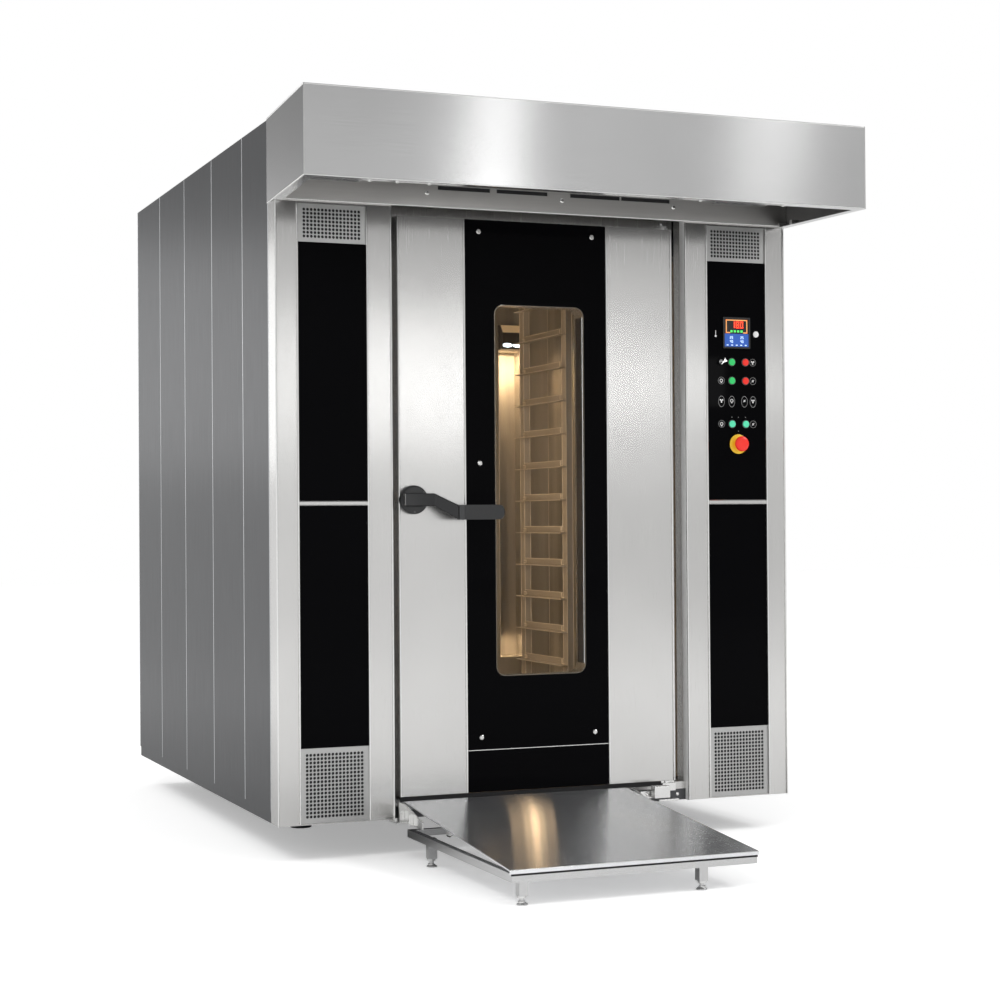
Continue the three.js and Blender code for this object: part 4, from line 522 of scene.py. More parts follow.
def make_piece(name, form, material, body="oven", slot="brushed", smooth=False, bevel=0.0):
    mesh = bpy.data.meshes.new(name)
    mesh.from_pydata(form.points, [], form.faces)
    mesh.materials.append(material)
    mesh.polygons.foreach_set("use_smooth", [smooth] * len(mesh.polygons))
    mesh.update()
    piece = add_object(name, mesh)
    if smooth:
        sharpen(piece)
    if bevel:
        add_bevel(piece, bevel)
    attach(piece, body)
    return piece


def make_strip(name, low, high, material, *place, **finish):
    """A thin flat strip or skin that is one box."""
    form = Form()
    form.box(low, high)
    make_piece(name, form, material, *place, **finish)


SHARP_ANGLE = 35


def sharpen(piece):
    """Keeps the edges of a smooth piece crisp where it turns sharply."""
    split = piece.modifiers.new("crisp", "EDGE_SPLIT")
    split.split_angle = radians(SHARP_ANGLE)


def add_bevel(piece, width):
    bevel = piece.modifiers.new("soft_edges", "BEVEL")
    bevel.width = width
    bevel.segments = 2
    bevel.limit_method = "ANGLE"
    bevel.angle_limit = radians(SHARP_ANGLE)


# ---- Perforated grilles ----
HOLE_PITCH = 13 * MM
HOLE_R = 5.15 * MM
HOLE_STEPS = 16
GRILLE_T = 2 * MM
GRILLE_GAP = 0.5 * MM
GRILLE_SHADE_T = 1 * MM
COLUMNS = 16
ROWS = {"top": 8, "bottom": 17}


def square_point(angle, half):
    """The point on a square's edge seen from its middle at that angle."""
    c, s = cos(angle), sin(angle)
    reach = half / max(abs(c), abs(s))
    return c * reach, s * reach


def perforated_plate(node, rows):
    """A flat plate with rows of round holes, each in its own square of the pattern."""
    (x0, y0, z0), (x1, _, z1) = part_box(node)
    form = Form()
    half_w, half_h = COLUMNS * HOLE_PITCH / 2, rows * HOLE_PITCH / 2
    cx, cz = (x0 + x1) / 2, (z0 + z1) / 2
    left, right, bottom, top = cx - half_w, cx + half_w, cz - half_h, cz + half_h
    y1 = y0 + GRILLE_T
    n = HOLE_STEPS
    square = [square_point(a, HOLE_PITCH / 2) for a in turns(n)]
    hole = circle(0, 0, HOLE_R, n)
    faces = []
    for a in range(n):
        b = (a + 1) % n
        faces += [(a, n + a, n + b, b), (n + a, 2 * n + a, 2 * n + b, n + b)]
    for i in range(COLUMNS):
        for k in range(rows):
            hx, hz = left + (i + 0.5) * HOLE_PITCH, bottom + (k + 0.5) * HOLE_PITCH
            rings = ((square, y0), (hole, y0), (hole, y1))
            form.add([(hx + u, y, hz + v) for ring, y in rings for u, v in ring], faces)
    form.box((x0, y0, z0), (left, y1, z1))
    form.box((right, y0, z0), (x1, y1, z1))
    form.box((left, y0, z0), (right, y1, bottom))
    form.box((left, y0, top), (right, y1, z1))
    return form


def make_grilles():
    """The perforated plates, each with a dark sheet of painted shade behind its holes."""
    shade_sheets = Form()
    for side in ("left", "right"):
        for level, rows in ROWS.items():
            node = f"{side}_{level}_grille"
            piece = make_piece(f"{node}_plate", perforated_plate(node, rows), GRILLE)
            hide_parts(node)
            (x0, y0, z0), (x1, _, z1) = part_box(node)
            # A near-black sheet behind the holes: painted shade.
            y = y0 + GRILLE_T + GRILLE_GAP
            shade_sheets.box((x0, y, z0), (x1, y + GRILLE_SHADE_T, z1))
    make_piece("grille_shade_sheets", shade_sheets, PAINTED_SHADE, slot="black_plastic")


# ---- Folded edges and joints of the body ----
FOLD_R = 3.0 * MM
FOLD_PROUD = 0.5 * MM
FOLD_INSET = FOLD_R - FOLD_PROUD
JAMB_Y = 47 * MM
JAMB_SKIN_T = 0.6 * MM
JAMB_SKIN_FRONT = 7 * MM
JAMB_SKIN_REAR = 4 * MM
SIDE_PANELS = 5
SEAM_W = 7 * MM
SEAM_PROUD = 0.6 * MM
SEAM_DEPTH = 4 * MM
HOOD_REAR_PROUD = 3.3 * MM
FRONT_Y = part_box("left_column")[0][1]


def make_seams():
    """Bright lines at the joints of the side panels, where their folded edges meet, in steel far brighter than
    the panels as a painted highlight.
    """
    for side, word in ((-1, "left"), (1, "right")):
        form = Form()
        for i in range(1, SIDE_PANELS + 1):
            low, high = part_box(f"{word}_panel_{i}")
            face = low[0] if side < 0 else high[0]
            x0, x1 = sorted((face + side * SEAM_PROUD, face - side * SEAM_DEPTH))
            for y in (low[1],) if i < SIDE_PANELS else (low[1], high[1] - SEAM_W / 2):
                form.box((x0, y - SEAM_W / 2, low[2]), (x1, y + SEAM_W / 2, high[2]))
        make_piece(f"{word}_seams", form, SEAM_HIGHLIGHT, slot="side_steel", bevel=0.5 * MM)


def make_column_folds():
    """The rounded folds along the columns, in steel brighter than the faces as a painted highlight, and a
    near-white skin on the right column's return, which is painted light.
    """
    y = FRONT_Y + FOLD_INSET
    form = Form()
    for word, pane in (("left", "left_bay_glass"), ("right", "right_lower_glass")):
        low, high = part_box(f"{word}_column")
        for x in (low[0] + FOLD_INSET, high[0] - FOLD_INSET):
            form.rod((x, y, low[2]), (x, y, high[2]), FOLD_R)
        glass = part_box(pane)
        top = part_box(f"{word}_top_grille")[1][2]
        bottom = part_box(f"{word}_bottom_grille")[0][2]
        for x in (glass[0][0] - FOLD_INSET, glass[1][0] + FOLD_INSET):
            form.rod((x, y, bottom), (x, y, top), FOLD_R)
    low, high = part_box("right_column")
    x, jamb_y = low[0] + FOLD_R, low[1] + JAMB_Y
    form.rod((x, jamb_y, low[2]), (x, jamb_y, high[2]), FOLD_R)
    skin_low = (low[0] - JAMB_SKIN_T, low[1] + JAMB_SKIN_FRONT, low[2])
    make_strip("column_return", skin_low, (low[0], jamb_y - JAMB_SKIN_REAR, high[2]), PAINTED_LIGHT_SKIN)
    make_piece("column_folds", form, EDGE, smooth=True)


def make_door_folds():
    # The folds are drawn in steel brighter than the door's face: a painted highlight.
    low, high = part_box("door_leaf")
    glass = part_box("door_front_glass")
    y = FRONT_Y + FOLD_INSET
    form = Form()
    for x in (low[0] + FOLD_INSET, high[0] - FOLD_INSET, glass[0][0] - FOLD_R, glass[1][0] + FOLD_R):
        form.rod((x, y, low[2]), (x, y, high[2]), FOLD_R)
    make_piece("door_folds", form, EDGE, "door", smooth=True)


def hood_corners():
    """Middles of the folds at the hood's corners: rear left, front left, front right, rear right."""
    low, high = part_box("hood_shell")
    rear = abs(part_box("left_panel_1")[0][0]) + HOOD_REAR_PROUD - FOLD_INSET
    left, right, front = low[0] + FOLD_INSET, high[0] - FOLD_INSET, low[1] + FOLD_INSET
    return [(-rear, high[1]), (left, front), (right, front), (rear, high[1])]


def make_hood_edges():
    """The hood's folded edges, and the fold along the foot of the plate behind it, in steel brighter than the
    faces as a painted highlight.
    """
    low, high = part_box("hood_shell")
    corners = hood_corners()
    bottom, top = low[2] + FOLD_INSET, high[2] - FOLD_INSET
    form = Form()
    for x, y in corners[1:3]:
        form.rod((x, y, bottom), (x, y, top), FOLD_R)
    for z in (bottom, top):
        for start, end in zip(corners, corners[1:]):
            form.rod((*start, z), (*end, z), FOLD_R)
    low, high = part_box("hood_baffle")
    y, z = low[1] + FOLD_INSET, low[2] + FOLD_INSET
    form.rod((low[0], y, z), (high[0], y, z), FOLD_R)
    make_piece("hood_folds", form, EDGE, smooth=True)


# ---- Plate behind the hood ----
BOLT_PLACES = ((-438, 2287), (73, 2287), (516, 2287))
BOLT_DOME = ((0, 1), (0.6, 0.9), (1, 0.35), (1, 0), (0, 0))
SLOT_SHADE_END = 300 * MM
SLOT_SHADE_Y = (3.4 * MM, 5 * MM)
SLOT_SHADE_Z = (40 * MM, 100 * MM)


def bolt(form, x, z, y, radius=8 * MM, proud=5 * MM):
    """A domed bolt head on a face that looks to the front."""
    form.turned_y([(radius * r, y - proud * p) for r, p in BOLT_DOME], x, z, 20)


def make_baffle_details():
    """A dark sheet of painted shade behind the plate's slot, and three bolts."""
    low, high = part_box("hood_baffle")
    (y0, y1), (z0, z1) = SLOT_SHADE_Y, SLOT_SHADE_Z
    # The slot's darkness is a near-black sheet: painted shade.
    make_strip(
        "slot_shade_sheet", (low[0] + SLOT_SHADE_END, low[1] + y0, low[2] + z0),
        (high[0] - SLOT_SHADE_END, low[1] + y1, low[2] + z1), PAINTED_SHADE,
    )
    bolts = Form()
    for x, z in BOLT_PLACES:
        bolt(bolts, x * MM, z * MM, low[1])
    make_piece("hood_bolts", bolts, EDGE, smooth=True)


# ---- Underside of the hood ----
HOOD_FLANGE = 35 * MM
STRIP_PLACES = ((-0.99, -0.82), (0.455, 0.655))
STRIP_HOLE = 9 * MM
STRIP_ROWS = 4
STRIP_D = 42 * MM
STRIP_Z = 1.2 * MM
STUD_PLACES = (-0.8, -0.708, -0.6, 0.38, 0.7)
STUD_R = 6 * MM
STUD_H = 5 * MM
CLIP_PLACES = (-0.73, -0.64)
CLIP_X = (0.955, 0.985)
CLIP_HALF = 8 * MM


def make_hood_underside():
    """Perforated strips and small studs behind the hood's front flange, and clips at its right. The strips'
    holes are near-black patches of painted shade.
    """
    low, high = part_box("hood_shell")
    y0 = low[1] + HOOD_FLANGE + 0.5 * MM
    z = low[2] + STRIP_Z
    plates, hole_shades = Form(), Form()
    for x0, x1 in STRIP_PLACES:
        plates.box((x0, y0, z), (x1, y0 + STRIP_D, z + 1 * MM))
        for i in range(int((x1 - x0) / STRIP_HOLE)):
            for k in range(STRIP_ROWS):
                x, y = x0 + (i + 0.25) * STRIP_HOLE, y0 + (k + 0.3) * STRIP_HOLE * 1.1
                # Each hole is a near-black patch below the strip: painted shade.
                hole_shades.box((x, y, z - 0.3 * MM), (x + STRIP_HOLE * 0.6, y + STRIP_HOLE * 0.7, z))
    make_piece("hood_strips", plates, EDGE)
    make_piece("hood_strip_holes", hole_shades, PAINTED_SHADE, slot="black_plastic")
    studs = Form()
    for x in STUD_PLACES:
        y = low[1] + HOOD_FLANGE * 0.55
        studs.rod((x, y, low[2] - STUD_H), (x, y, low[2]), STUD_R, 12)
    x0, x1 = CLIP_X
    for y in CLIP_PLACES:
        studs.box((x0, y - CLIP_HALF, low[2] + 0.6 * MM), (x1, y + CLIP_HALF, low[2] + 16 * MM))
    make_piece("hood_studs", studs, EDGE, smooth=True)


# ---- Ramp ----
RAMP_LIP = 12 * MM
BORDER_R = 1.1 * MM
BORDER_PROUD = 0.5 * MM
BORDER_END = 12 * MM
SLOT_H = 6 * MM
# The bright collars round each leg: bottom, top and radius.
COLLARS = ((22 * MM, 28 * MM, 15 * MM), (7 * MM, 12 * MM, 11 * MM))
LEG_FRONT = 18 * MM
LEG_REAR_Y = -0.88
FRONT_LEG_INSETS = (40 * MM, 187 * MM)
REAR_LEG_INSET = 15 * MM


def make_ramp_edges():
    """The bright border of the plate, a dark strip of painted shade in the slot under its lip, and the collars
    of the legs.
    """
    low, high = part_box("ramp_plate")
    front_z = low[2] + RAMP_LIP
    inset = BORDER_R - BORDER_PROUD
    x0, x1 = low[0] + inset, high[0] - inset
    y0, y1 = low[1] + inset, high[1] - BORDER_END
    rear_z = high[2] - (high[2] - front_z) * BORDER_END / (high[1] - low[1])
    z = front_z - inset
    border = Form()
    for x in (x0, x1):
        border.rod((x, y0, z), (x, y1, rear_z - inset), BORDER_R)
    border.rod((x0, y0, z), (x1, y0, z), BORDER_R)
    make_piece("ramp_border", border, EDGE, "ramp", smooth=True)
    low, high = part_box("ramp_frame")
    # A near-black strip under the lip: painted shade.
    slot_low = (low[0], low[1] - 0.5 * MM, high[2] - SLOT_H)
    make_strip("ramp_slot_shade", slot_low, (high[0], low[1], high[2] - 0.2 * MM), PAINTED_SHADE, slot="black_plastic")
    collars = Form()
    for x, y in leg_places():
        for bottom, top, radius in COLLARS:
            collars.rod((x, y, bottom), (x, y, top), radius, 20)
    make_piece("leg_collars", collars, EDGE, smooth=True)


def leg_places():
    """Middles of the four legs from above."""
    low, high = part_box("ramp_frame")
    front = low[1] + LEG_FRONT
    left, right = FRONT_LEG_INSETS
    places = [(low[0] + left, front), (high[0] - right, front)]
    return places + [(x, LEG_REAR_Y) for x in (low[0] + REAR_LEG_INSET, high[0] - REAR_LEG_INSET)]


# Outlines of a bracket and a rib, in mm: to the rear of the tray's front, and up from its foot.
BRACKET = ((45, 0), (45, 62), (-30, 62), (-210, 24), (-210, 0))
RIB = ((0, 0), (0, 40), (4, 0))
RIB_PLACES = (-120 * MM, -30 * MM)
RIB_REACH = 20 * MM
BRACKET_GAP = 10 * MM
BRACKET_T = 5 * MM
FOOT_REACH = 42 * MM
# Blocks under the door's right end and of the ramp's tab, by two corners in mm, and bolts there,
# by place and radius.
RIGHT_BLOCKS = (((38, 2, 22), (95, 44, 48)), ((110, -4, 8), (190, 44, 16)), ((76, -36, 26), (138, -3, 68)))
RIGHT_BOLTS = ((66, 2, 35, 7), (205, 40, 26, 6))
TAB_BLOCKS = (((2, 0, 0), (8, 26, 17)), ((2, 0, 0), (26, 26, 4)))
TAB_BACK = 0.52
TAB_UP = 34 * MM


def make_ramp_fittings():
    """Brackets beside the ramp's hinges, with their bolts, and a stiffener's end under its edge."""
    low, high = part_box("ramp_plate")
    front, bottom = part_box("base_tray")[0][1], BASE_Z + 1 * MM
    left, right = low[0] - BRACKET_GAP, high[0] + BRACKET_GAP
    parts, bolts = Form(), Form()
    for x, side in ((left, -1), (right, 1)):
        outer = x + side * BRACKET_T
        outline = [(front + u * MM, bottom + v * MM) for u, v in BRACKET]
        parts.prism_x(outline, *sorted((x, outer)))
        x0, x1 = sorted((x, x + side * FOOT_REACH))
        parts.box((x0, front - 60 * MM, bottom), (x1, front + 30 * MM, bottom + BRACKET_T))
        for place in RIB_PLACES:
            rib = [(front + place + u * MM, bottom + v * MM) for u, v in RIB]
            parts.prism_x(rib, *sorted((outer, x + side * RIB_REACH)))
        bolt_x, bolt_y = x + side * 24 * MM, front + 8 * MM
        bolts.rod((bolt_x, bolt_y, bottom + BRACKET_T), (bolt_x, bolt_y, bottom + 11 * MM), 8 * MM, 6)
    for steps in RIGHT_BLOCKS:
        box_steps(parts, (right, front, bottom), steps)
    for dx, dy, dz, radius in RIGHT_BOLTS:
        bolt(bolts, right + dx * MM, bottom + dz * MM, front + dy * MM, radius * MM)
    make_piece("ramp_brackets", parts, EDGE, bevel=1 * MM)
    make_piece("ramp_bolts", bolts, EDGE, smooth=True)
    tab = Form()
    for steps in TAB_BLOCKS:
        box_steps(tab, (low[0], low[1] + TAB_BACK, low[2] + TAB_UP), steps)
    make_piece("ramp_tab", tab, EDGE, "ramp")


# ---- Chamber and rack, seen through the window ----
LEVELS = 14
LEVEL_PITCH = 127.4 * MM
FIRST_LEVEL_Z = 222 * MM
POST_W = 25 * MM
POST_D = 40 * MM
RUNNER_H = 27 * MM
RUNNER_W = 26 * MM
RUNNER_T = 1.5 * MM
RUNNER_END = 4 * MM
LINE_R = 1.1 * MM
CLIP_T = 3 * MM
# Bars of the clips, in mm from the post and up from the runner's foot: y0, z0, y1, z1.
FRONT_CLIP = ((-8, 5, 16, 9), (12, 5, 16, 25))
REAR_CLIP = ((-18, 6, 6, 10), (-18, 16, 6, 20), (-18, 6, -14, 20))


def make_rack_edges():
    """Folded edges of the posts and runners as thin bright rods, which are painted highlights, and the clips
    that hold the runners.
    """
    edges, clips = Form(), Form()
    for side, word in ((-1, "left"), (1, "right")):
        low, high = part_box(f"rack_{word}_side")
        outer = low[0] if side < 0 else high[0]
        inner = outer - side * POST_W
        for y in (low[1], low[1] + POST_D, high[1] - POST_D, high[1]):
            for x in (inner, outer):
                edges.rod((x, y, low[2]), (x, y, high[2]), LINE_R, 6)
        front, back = low[1] + POST_D, high[1] - POST_D
        shelf = inner - side * RUNNER_W
        x0, x1 = sorted((inner, inner - side * CLIP_T))
        for i in range(LEVELS):
            z = BASE_Z + FIRST_LEVEL_Z + i * LEVEL_PITCH - RUNNER_H / 2
            top, lip = z + RUNNER_H, z + RUNNER_T
            edges.rod((inner, front, top), (inner, back, top), LINE_R, 6)
            edges.rod((shelf, low[1] + RUNNER_END, lip), (shelf, high[1] - RUNNER_END, lip), LINE_R, 6)
            for post, bars in ((front, FRONT_CLIP), (back, REAR_CLIP)):
                for y0, z0, y1, z1 in bars:
                    clips.box((x0, post + y0 * MM, z + z0 * MM), (x1, post + y1 * MM, z + z1 * MM))
    make_piece("rack_edges", edges, CHAMBER_BRIGHT_AND_HIGHLIGHT, "rack", "chamber_steel", smooth=True)
    make_piece("rack_clips", clips, CHAMBER_BRIGHT_AND_HIGHLIGHT, "rack", "chamber_steel")


CORNER_FOOT = 120 * MM
DUCT_FOOT_Z = 570 * MM
DUCT_LIP = 3 * MM


def make_chamber_edges():
    """The fold in the chamber's rear corner and round the air duct, as thin bright rods that are painted
    highlights.
    """
    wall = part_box("chamber_right_wall")
    (x0, _, top), (x1, back, _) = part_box("chamber_lamp")
    x, y = wall[0][0] - LINE_R, back - LINE_R
    form = Form()
    form.rod((x, y, wall[0][2] + CORNER_FOOT), (x, y, wall[1][2]), LINE_R)
    for x in (x0, x1):
        form.rod((x, y, DUCT_FOOT_Z), (x, y, top), LINE_R)
    z = DUCT_FOOT_Z - DUCT_LIP
    form.rod((x0, y, z), (x1, y, z), LINE_R * 1.6)
    make_piece("chamber_edges", form, CHAMBER_BRIGHT_AND_HIGHLIGHT, slot="chamber_steel", smooth=True)


SPOT_SHARES = (0.2, 0.58)
SPOT_R = 21 * MM
SPOT_UP = 16 * MM
SPOT_FLATTENING = 0.4
SLOPE_SHARES = (0.06, 0.94)
SLOPE_H = 37 * MM
LAMP_TOP_D = 18 * MM
SLOPE_MARGIN = 3 * MM


def make_lamp_details():
    """Two lit spots at the foot of the lamp's housing, and its slope, which glows warm as painted light."""
    low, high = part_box("chamber_lamp")
    spots, slope = Form(), Form()
    for share in SPOT_SHARES:
        x = low[0] + (high[0] - low[0]) * share
        spots.prism_y(circle(x, low[2] + SPOT_UP, SPOT_R, 24, SPOT_FLATTENING), low[1] - 1 * MM, low[1])
    make_piece("lamp_spots", spots, LAMP_SPOT, slot="lamp_glass")
    run = (high[1] - LAMP_TOP_D) - low[1]
    ends = []
    for share in SLOPE_SHARES:
        y, z = low[1] + run * share, high[2] - SLOPE_H + SLOPE_H * share
        ends.append([(y - 1.2 * MM, z + 0.9 * MM), (y - 0.2 * MM, z + 0.1 * MM)])
    (a, b), (d, c) = ends
    slope.prism_x([a, b, c, d], low[0] + SLOPE_MARGIN, high[0] - SLOPE_MARGIN)
    make_piece("lamp_slope_face", slope, LAMP_SLOPE_GLOW, slot="lamp_glass")


# ---- Door's glass and sill ----
GLASS_JOINT_Z = 347 * MM
JOINT_PROUD = 0.4 * MM
SILL_PROUD = 1.5 * MM
WINDOW_R = 34 * MM
RIM_W = 2.2 * MM


def make_door_lines():
    """The bright joint low on the door's black glass, and a dark strip along the sill that is partly a seal and
    partly painted shade of the gap under the door.
    """
    low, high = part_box("door_front_glass")
    z0, z1 = GLASS_JOINT_Z - 1 * MM, GLASS_JOINT_Z + 1 * MM
    joint_low = (low[0], low[1] - JOINT_PROUD, z0)
    make_strip("glass_joint", joint_low, (high[0], low[1], z1), EDGE, "door", "black_glass")
    sill_y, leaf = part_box("door_frame")[0][1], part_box("door_leaf")[0]
    z0, z1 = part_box("base_tray")[1][2], leaf[2] - SILL_PROUD
    strip_low = (leaf[0], sill_y - SILL_PROUD, z0 - 2 * MM)
    # Near-black: partly a seal, partly painted shade of the gap under the door.
    make_strip("sill_seal_and_shade", strip_low, (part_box("bottom_hinge_bracket")[0][0], sill_y, z1), PAINTED_SHADE, slot="seal")


def rounded(low, high, radius, steps=8):
    """A rectangle of (x, z) points with round corners."""
    points = []
    x0, z0, x1, z1 = low[0] + radius, low[1] + radius, high[0] - radius, high[1] - radius
    for cx, cz, start in ((x1, z1, 0), (x0, z1, 90), (x0, z0, 180), (x1, z0, 270)):
        for k in range(steps + 1):
            angle = radians(start + 90 * k / steps)
            points.append((cx + radius * cos(angle), cz + radius * sin(angle)))
    return points


def make_window_rim():
    """The polished edge of the window in the black glass, a bright line at its right that is a painted
    highlight, and a dark strip of painted shade on the side of the opening behind it."""
    (x0, y, z0), (x1, y1, z1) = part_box("door_window_glass")
    t = RIM_W
    outer = rounded((x0, z0), (x1, z1), WINDOW_R)
    inner = rounded((x0 + t, z0 + t), (x1 - t, z1 - t), WINDOW_R - t)
    form = Form()
    form.band_y(outer, inner, y - 0.4 * MM, y + 0.2 * MM)
    make_piece("window_rim", form, RIM, "door", "clear_glass")
    z0, z1 = z0 + WINDOW_R, z1 - WINDOW_R
    # A bright strip just behind the glass's right edge: painted highlight.
    line = (x1 - 3 * t, y + 0.5 * MM, z0), (x1 - 2.2 * t, y + 2 * MM, z1)
    make_strip("window_edge_highlight", *line, EDGE, "door", "clear_glass")
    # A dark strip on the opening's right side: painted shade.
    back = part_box("door_leaf")[1][1] - 22 * MM
    reveal = (x1 - 1.2 * MM, y1 + 2 * MM, z0), (x1 - 0.4 * MM, back, z1)
    make_strip("window_reveal_shade", *reveal, LAMP_CASE, "door", "seal")


# ---- Control panel ----
PANEL_LOW, PANEL_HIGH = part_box("right_lower_glass")
PANEL_X = (PANEL_LOW[0] + PANEL_HIGH[0]) / 2
PANEL_Y = PANEL_LOW[1]
PRINT_T = 0.4 * MM


def on_panel(dx, z):
    """A place given in mm: to the right of the panel's middle, and up from the body's lower edge."""
    return PANEL_X + dx * MM, BASE_Z + z * MM


def ring_print(form, dx, z, radius, line, stretch=1.0):
    outer, inner = [circle(*on_panel(dx, z), r * MM, 32, stretch) for r in (radius, radius - line)]
    form.band_y(outer, inner, PANEL_Y - PRINT_T, PANEL_Y)


def dot_print(form, dx, z, radius):
    form.prism_y(circle(*on_panel(dx, z), radius * MM, 20), PANEL_Y - PRINT_T, PANEL_Y)


def bar_print(form, dx, z, width, height, turn=0.0):
    x, pz = on_panel(dx, z)
    c, s = cos(radians(turn)), sin(radians(turn))
    half = [(u * width * MM / 2, v * height * MM / 2) for u, v in ((-1, -1), (1, -1), (1, 1), (-1, 1))]
    corners = [(x + u * c - v * s, pz + u * s + v * c) for u, v in half]
    form.prism_y(corners, PANEL_Y - PRINT_T, PANEL_Y)


ICON_R = 13.5
OVAL_R = 13
OVAL_STRETCH = 1.6
ICON_LINE = 1.1


def fan_symbol(form, dx, z):
    dot_print(form, dx, z, 2.2)
    for turn in (0, 120, 240):
        a = radians(turn + 30)
        dot_print(form, dx + 5 * cos(a), z + 5 * sin(a), 2.9)


def lamp_symbol(form, dx, z):
    ring_print(form, dx, z, 6.5, 2.2)
    bar_print(form, dx, z - 8, 5, 2)


def arrow_symbol(form, dx, z):
    bar_print(form, dx, z, 12, 2.4, 40)
    bar_print(form, dx, z, 2.4, 9, 40)


def make_icons():
    """Rings and ovals with small generic symbols, printed on the glass."""
    bright, dim = Form(), Form()
    for dx, z, symbol in (
        (-62, 1535, lamp_symbol), (70, 1604, fan_symbol), (70, 1535, arrow_symbol),
        (-62, 1375, lamp_symbol), (70, 1375, arrow_symbol),
    ):
        ring_print(dim, dx, z, ICON_R, ICON_LINE)
        symbol(bright, dx, z)
    for dx, symbol in ((-62, fan_symbol), (-19, lamp_symbol), (34, arrow_symbol), (70, fan_symbol)):
        ring_print(dim, dx, 1458, OVAL_R, ICON_LINE, OVAL_STRETCH)
        symbol(bright, dx, 1461)
    dot_print(bright, -84, 1699, 4.2)
    bar_print(bright, -84, 1711, 2.2, 18)
    for dx, z in ((-19, 1400), (38, 1400), (8, 1400), (8, 1349)):
        dot_print(dim, dx, z, 1.6)
    make_piece("panel_marks_bright", bright, WHITE)
    make_piece("panel_marks_dim", dim, DIM)


# Profiles from the front to the glass, in mm: radius, and how far it stands out.
STUD_PROFILE = ((0, 4), (7, 4), (11, 2.5), (11.5, 0), (0, 0))
DISC_PROFILE = ((0, 2.4), (34.5, 2.4), (36, 1.4), (36, 0), (0, 0))


def on_glass(name, profile, dx, z, material, segments):
    """A turned piece on the panel's glass."""
    form = Form()
    form.turned_y([(r * MM, PANEL_Y - proud * MM) for r, proud in profile], *on_panel(dx, z), segments)
    make_piece(name, form, material, smooth=True)


def make_panel_fittings():
    """A white stud at the panel's top right, and the yellow disc behind the emergency stop."""
    on_glass("panel_stud", STUD_PROFILE, 84, 1709, WHITE, 40)
    on_glass("estop_disc", DISC_PROFILE, 7, 1301, YELLOW, 64)


# ---- Buttons ----
CAPS = (
    (GREEN, "green", ("upper", "lower")),
    (RED, "red", ("upper", "lower")),
    (TEAL, "teal", ("left", "right")),
)
CAP_R = 12.4 * MM
BEZEL_R = 15.0 * MM
BEZEL_PROUD = 2.9 * MM


def middle_of(node):
    low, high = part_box(node)
    return (low[0] + high[0]) / 2, (low[2] + high[2]) / 2


# Fronts of the turned pieces, in mm: radius, and depth behind the foremost point.
CAP_DISH = ((0, 0.9), (6, 0.6), (9.5, 0), (11.4, 0.2))
ESTOP_DOME = ((0, 0), (9, 0.3), (16, 1.2), (22, 3), (26, 6), (28, 10), (28, 12), (26, 14.6), (15, 15))
ESTOP_STEM_R = 15 * MM


def make_caps():
    """Smooth caps with a shallow dish and a lit middle, in dark rings."""
    rings = Form()
    for material, colour, places in CAPS:
        for node in [f"{colour}_button_{place}" for place in places]:
            x, z = middle_of(node)
            (_, f, _), (_, back, _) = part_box(node)
            profile = [(r * MM, f + d * MM) for r, d in CAP_DISH]
            profile += [(CAP_R, f + 1.4 * MM), (CAP_R, back), (0, back)]
            form = Form()
            form.turned_y(profile, x, z, 48)
            cap = make_piece(f"{node}_cap", form, material, f"{node}_body", colour, smooth=True)
            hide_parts(node)
            inner = circle(x, z, CAP_R + 0.5 * MM, 48)
            rings.band_y(circle(x, z, BEZEL_R, 48), inner, PANEL_Y - BEZEL_PROUD, PANEL_Y)
    make_piece("button_rings", rings, FRAME_GREY, smooth=True, bevel=0.4 * MM)


def make_estop():
    """The domed red head of the emergency stop."""
    x, z = middle_of("estop_button")
    (_, f, _), (_, back, _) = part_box("estop_button")
    form = Form()
    dome = [(r * MM, f + d * MM) for r, d in ESTOP_DOME]
    form.turned_y(dome + [(ESTOP_STEM_R, back), (0, back)], x, z, 64)
    head = make_piece("estop_head", form, RED, "estop", "red", smooth=True)
    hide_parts("estop_button")


LOCK_PROUD = 3.2 * MM
LOCK_R = 9 * MM
LOCK_EDGE = 0.6 * MM
KEY_TURN = -52
KEY_PLATE = ((-3, -9), (3, -9), (3.3, 2), (7, 6), (7, 11), (-7, 11), (-7, 6), (-3.3, 2))


def make_key():
    """A lock barrel in the panel with a flat key that is turned aside."""
    x, z = middle_of("key_switch")
    low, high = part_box("key_switch")
    y = PANEL_Y - LOCK_PROUD
    front = [(0, y), (LOCK_R - LOCK_EDGE, y), (LOCK_R, y + 0.8 * MM)]
    form = Form()
    form.turned_y(front + [(LOCK_R, high[1]), (0, high[1])], x, z, 40)
    c, s = cos(radians(KEY_TURN)), sin(radians(KEY_TURN))
    corners = [(x + (u * c - v * s) * MM, z + (u * s + v * c) * MM) for u, v in KEY_PLATE]
    form.prism_y(corners, low[1], y)
    lock = make_piece("key_and_lock", form, CHROME, "key", "black_plastic", smooth=True, bevel=0.5 * MM)
    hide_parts("key_switch")


# ---- Display ----
SEGMENTS = {"0": "abcdef", "1": "bc", "2": "abged", "4": "fgbc", "5": "afgcd", "8": "abcdefg"}


def digit(form, character, x, z, height, y, line):
    """A seven-segment digit whose lower left corner is at x, z."""
    right, middle, top = x + height * 0.52, z + height / 2, z + height
    bars = {
        "a": (x, top - line, right, top),
        "g": (x, middle - line / 2, right, middle + line / 2),
        "d": (x, z, right, z + line),
        "f": (x, middle, x + line, top),
        "b": (right - line, middle, right, top),
        "e": (x, z, x + line, middle),
        "c": (right - line, z, right, middle),
    }
    for segment in SEGMENTS[character]:
        x0, z0, x1, z1 = bars[segment]
        form.box((x0, y - PRINT_T, z0), (x1, y, z1))


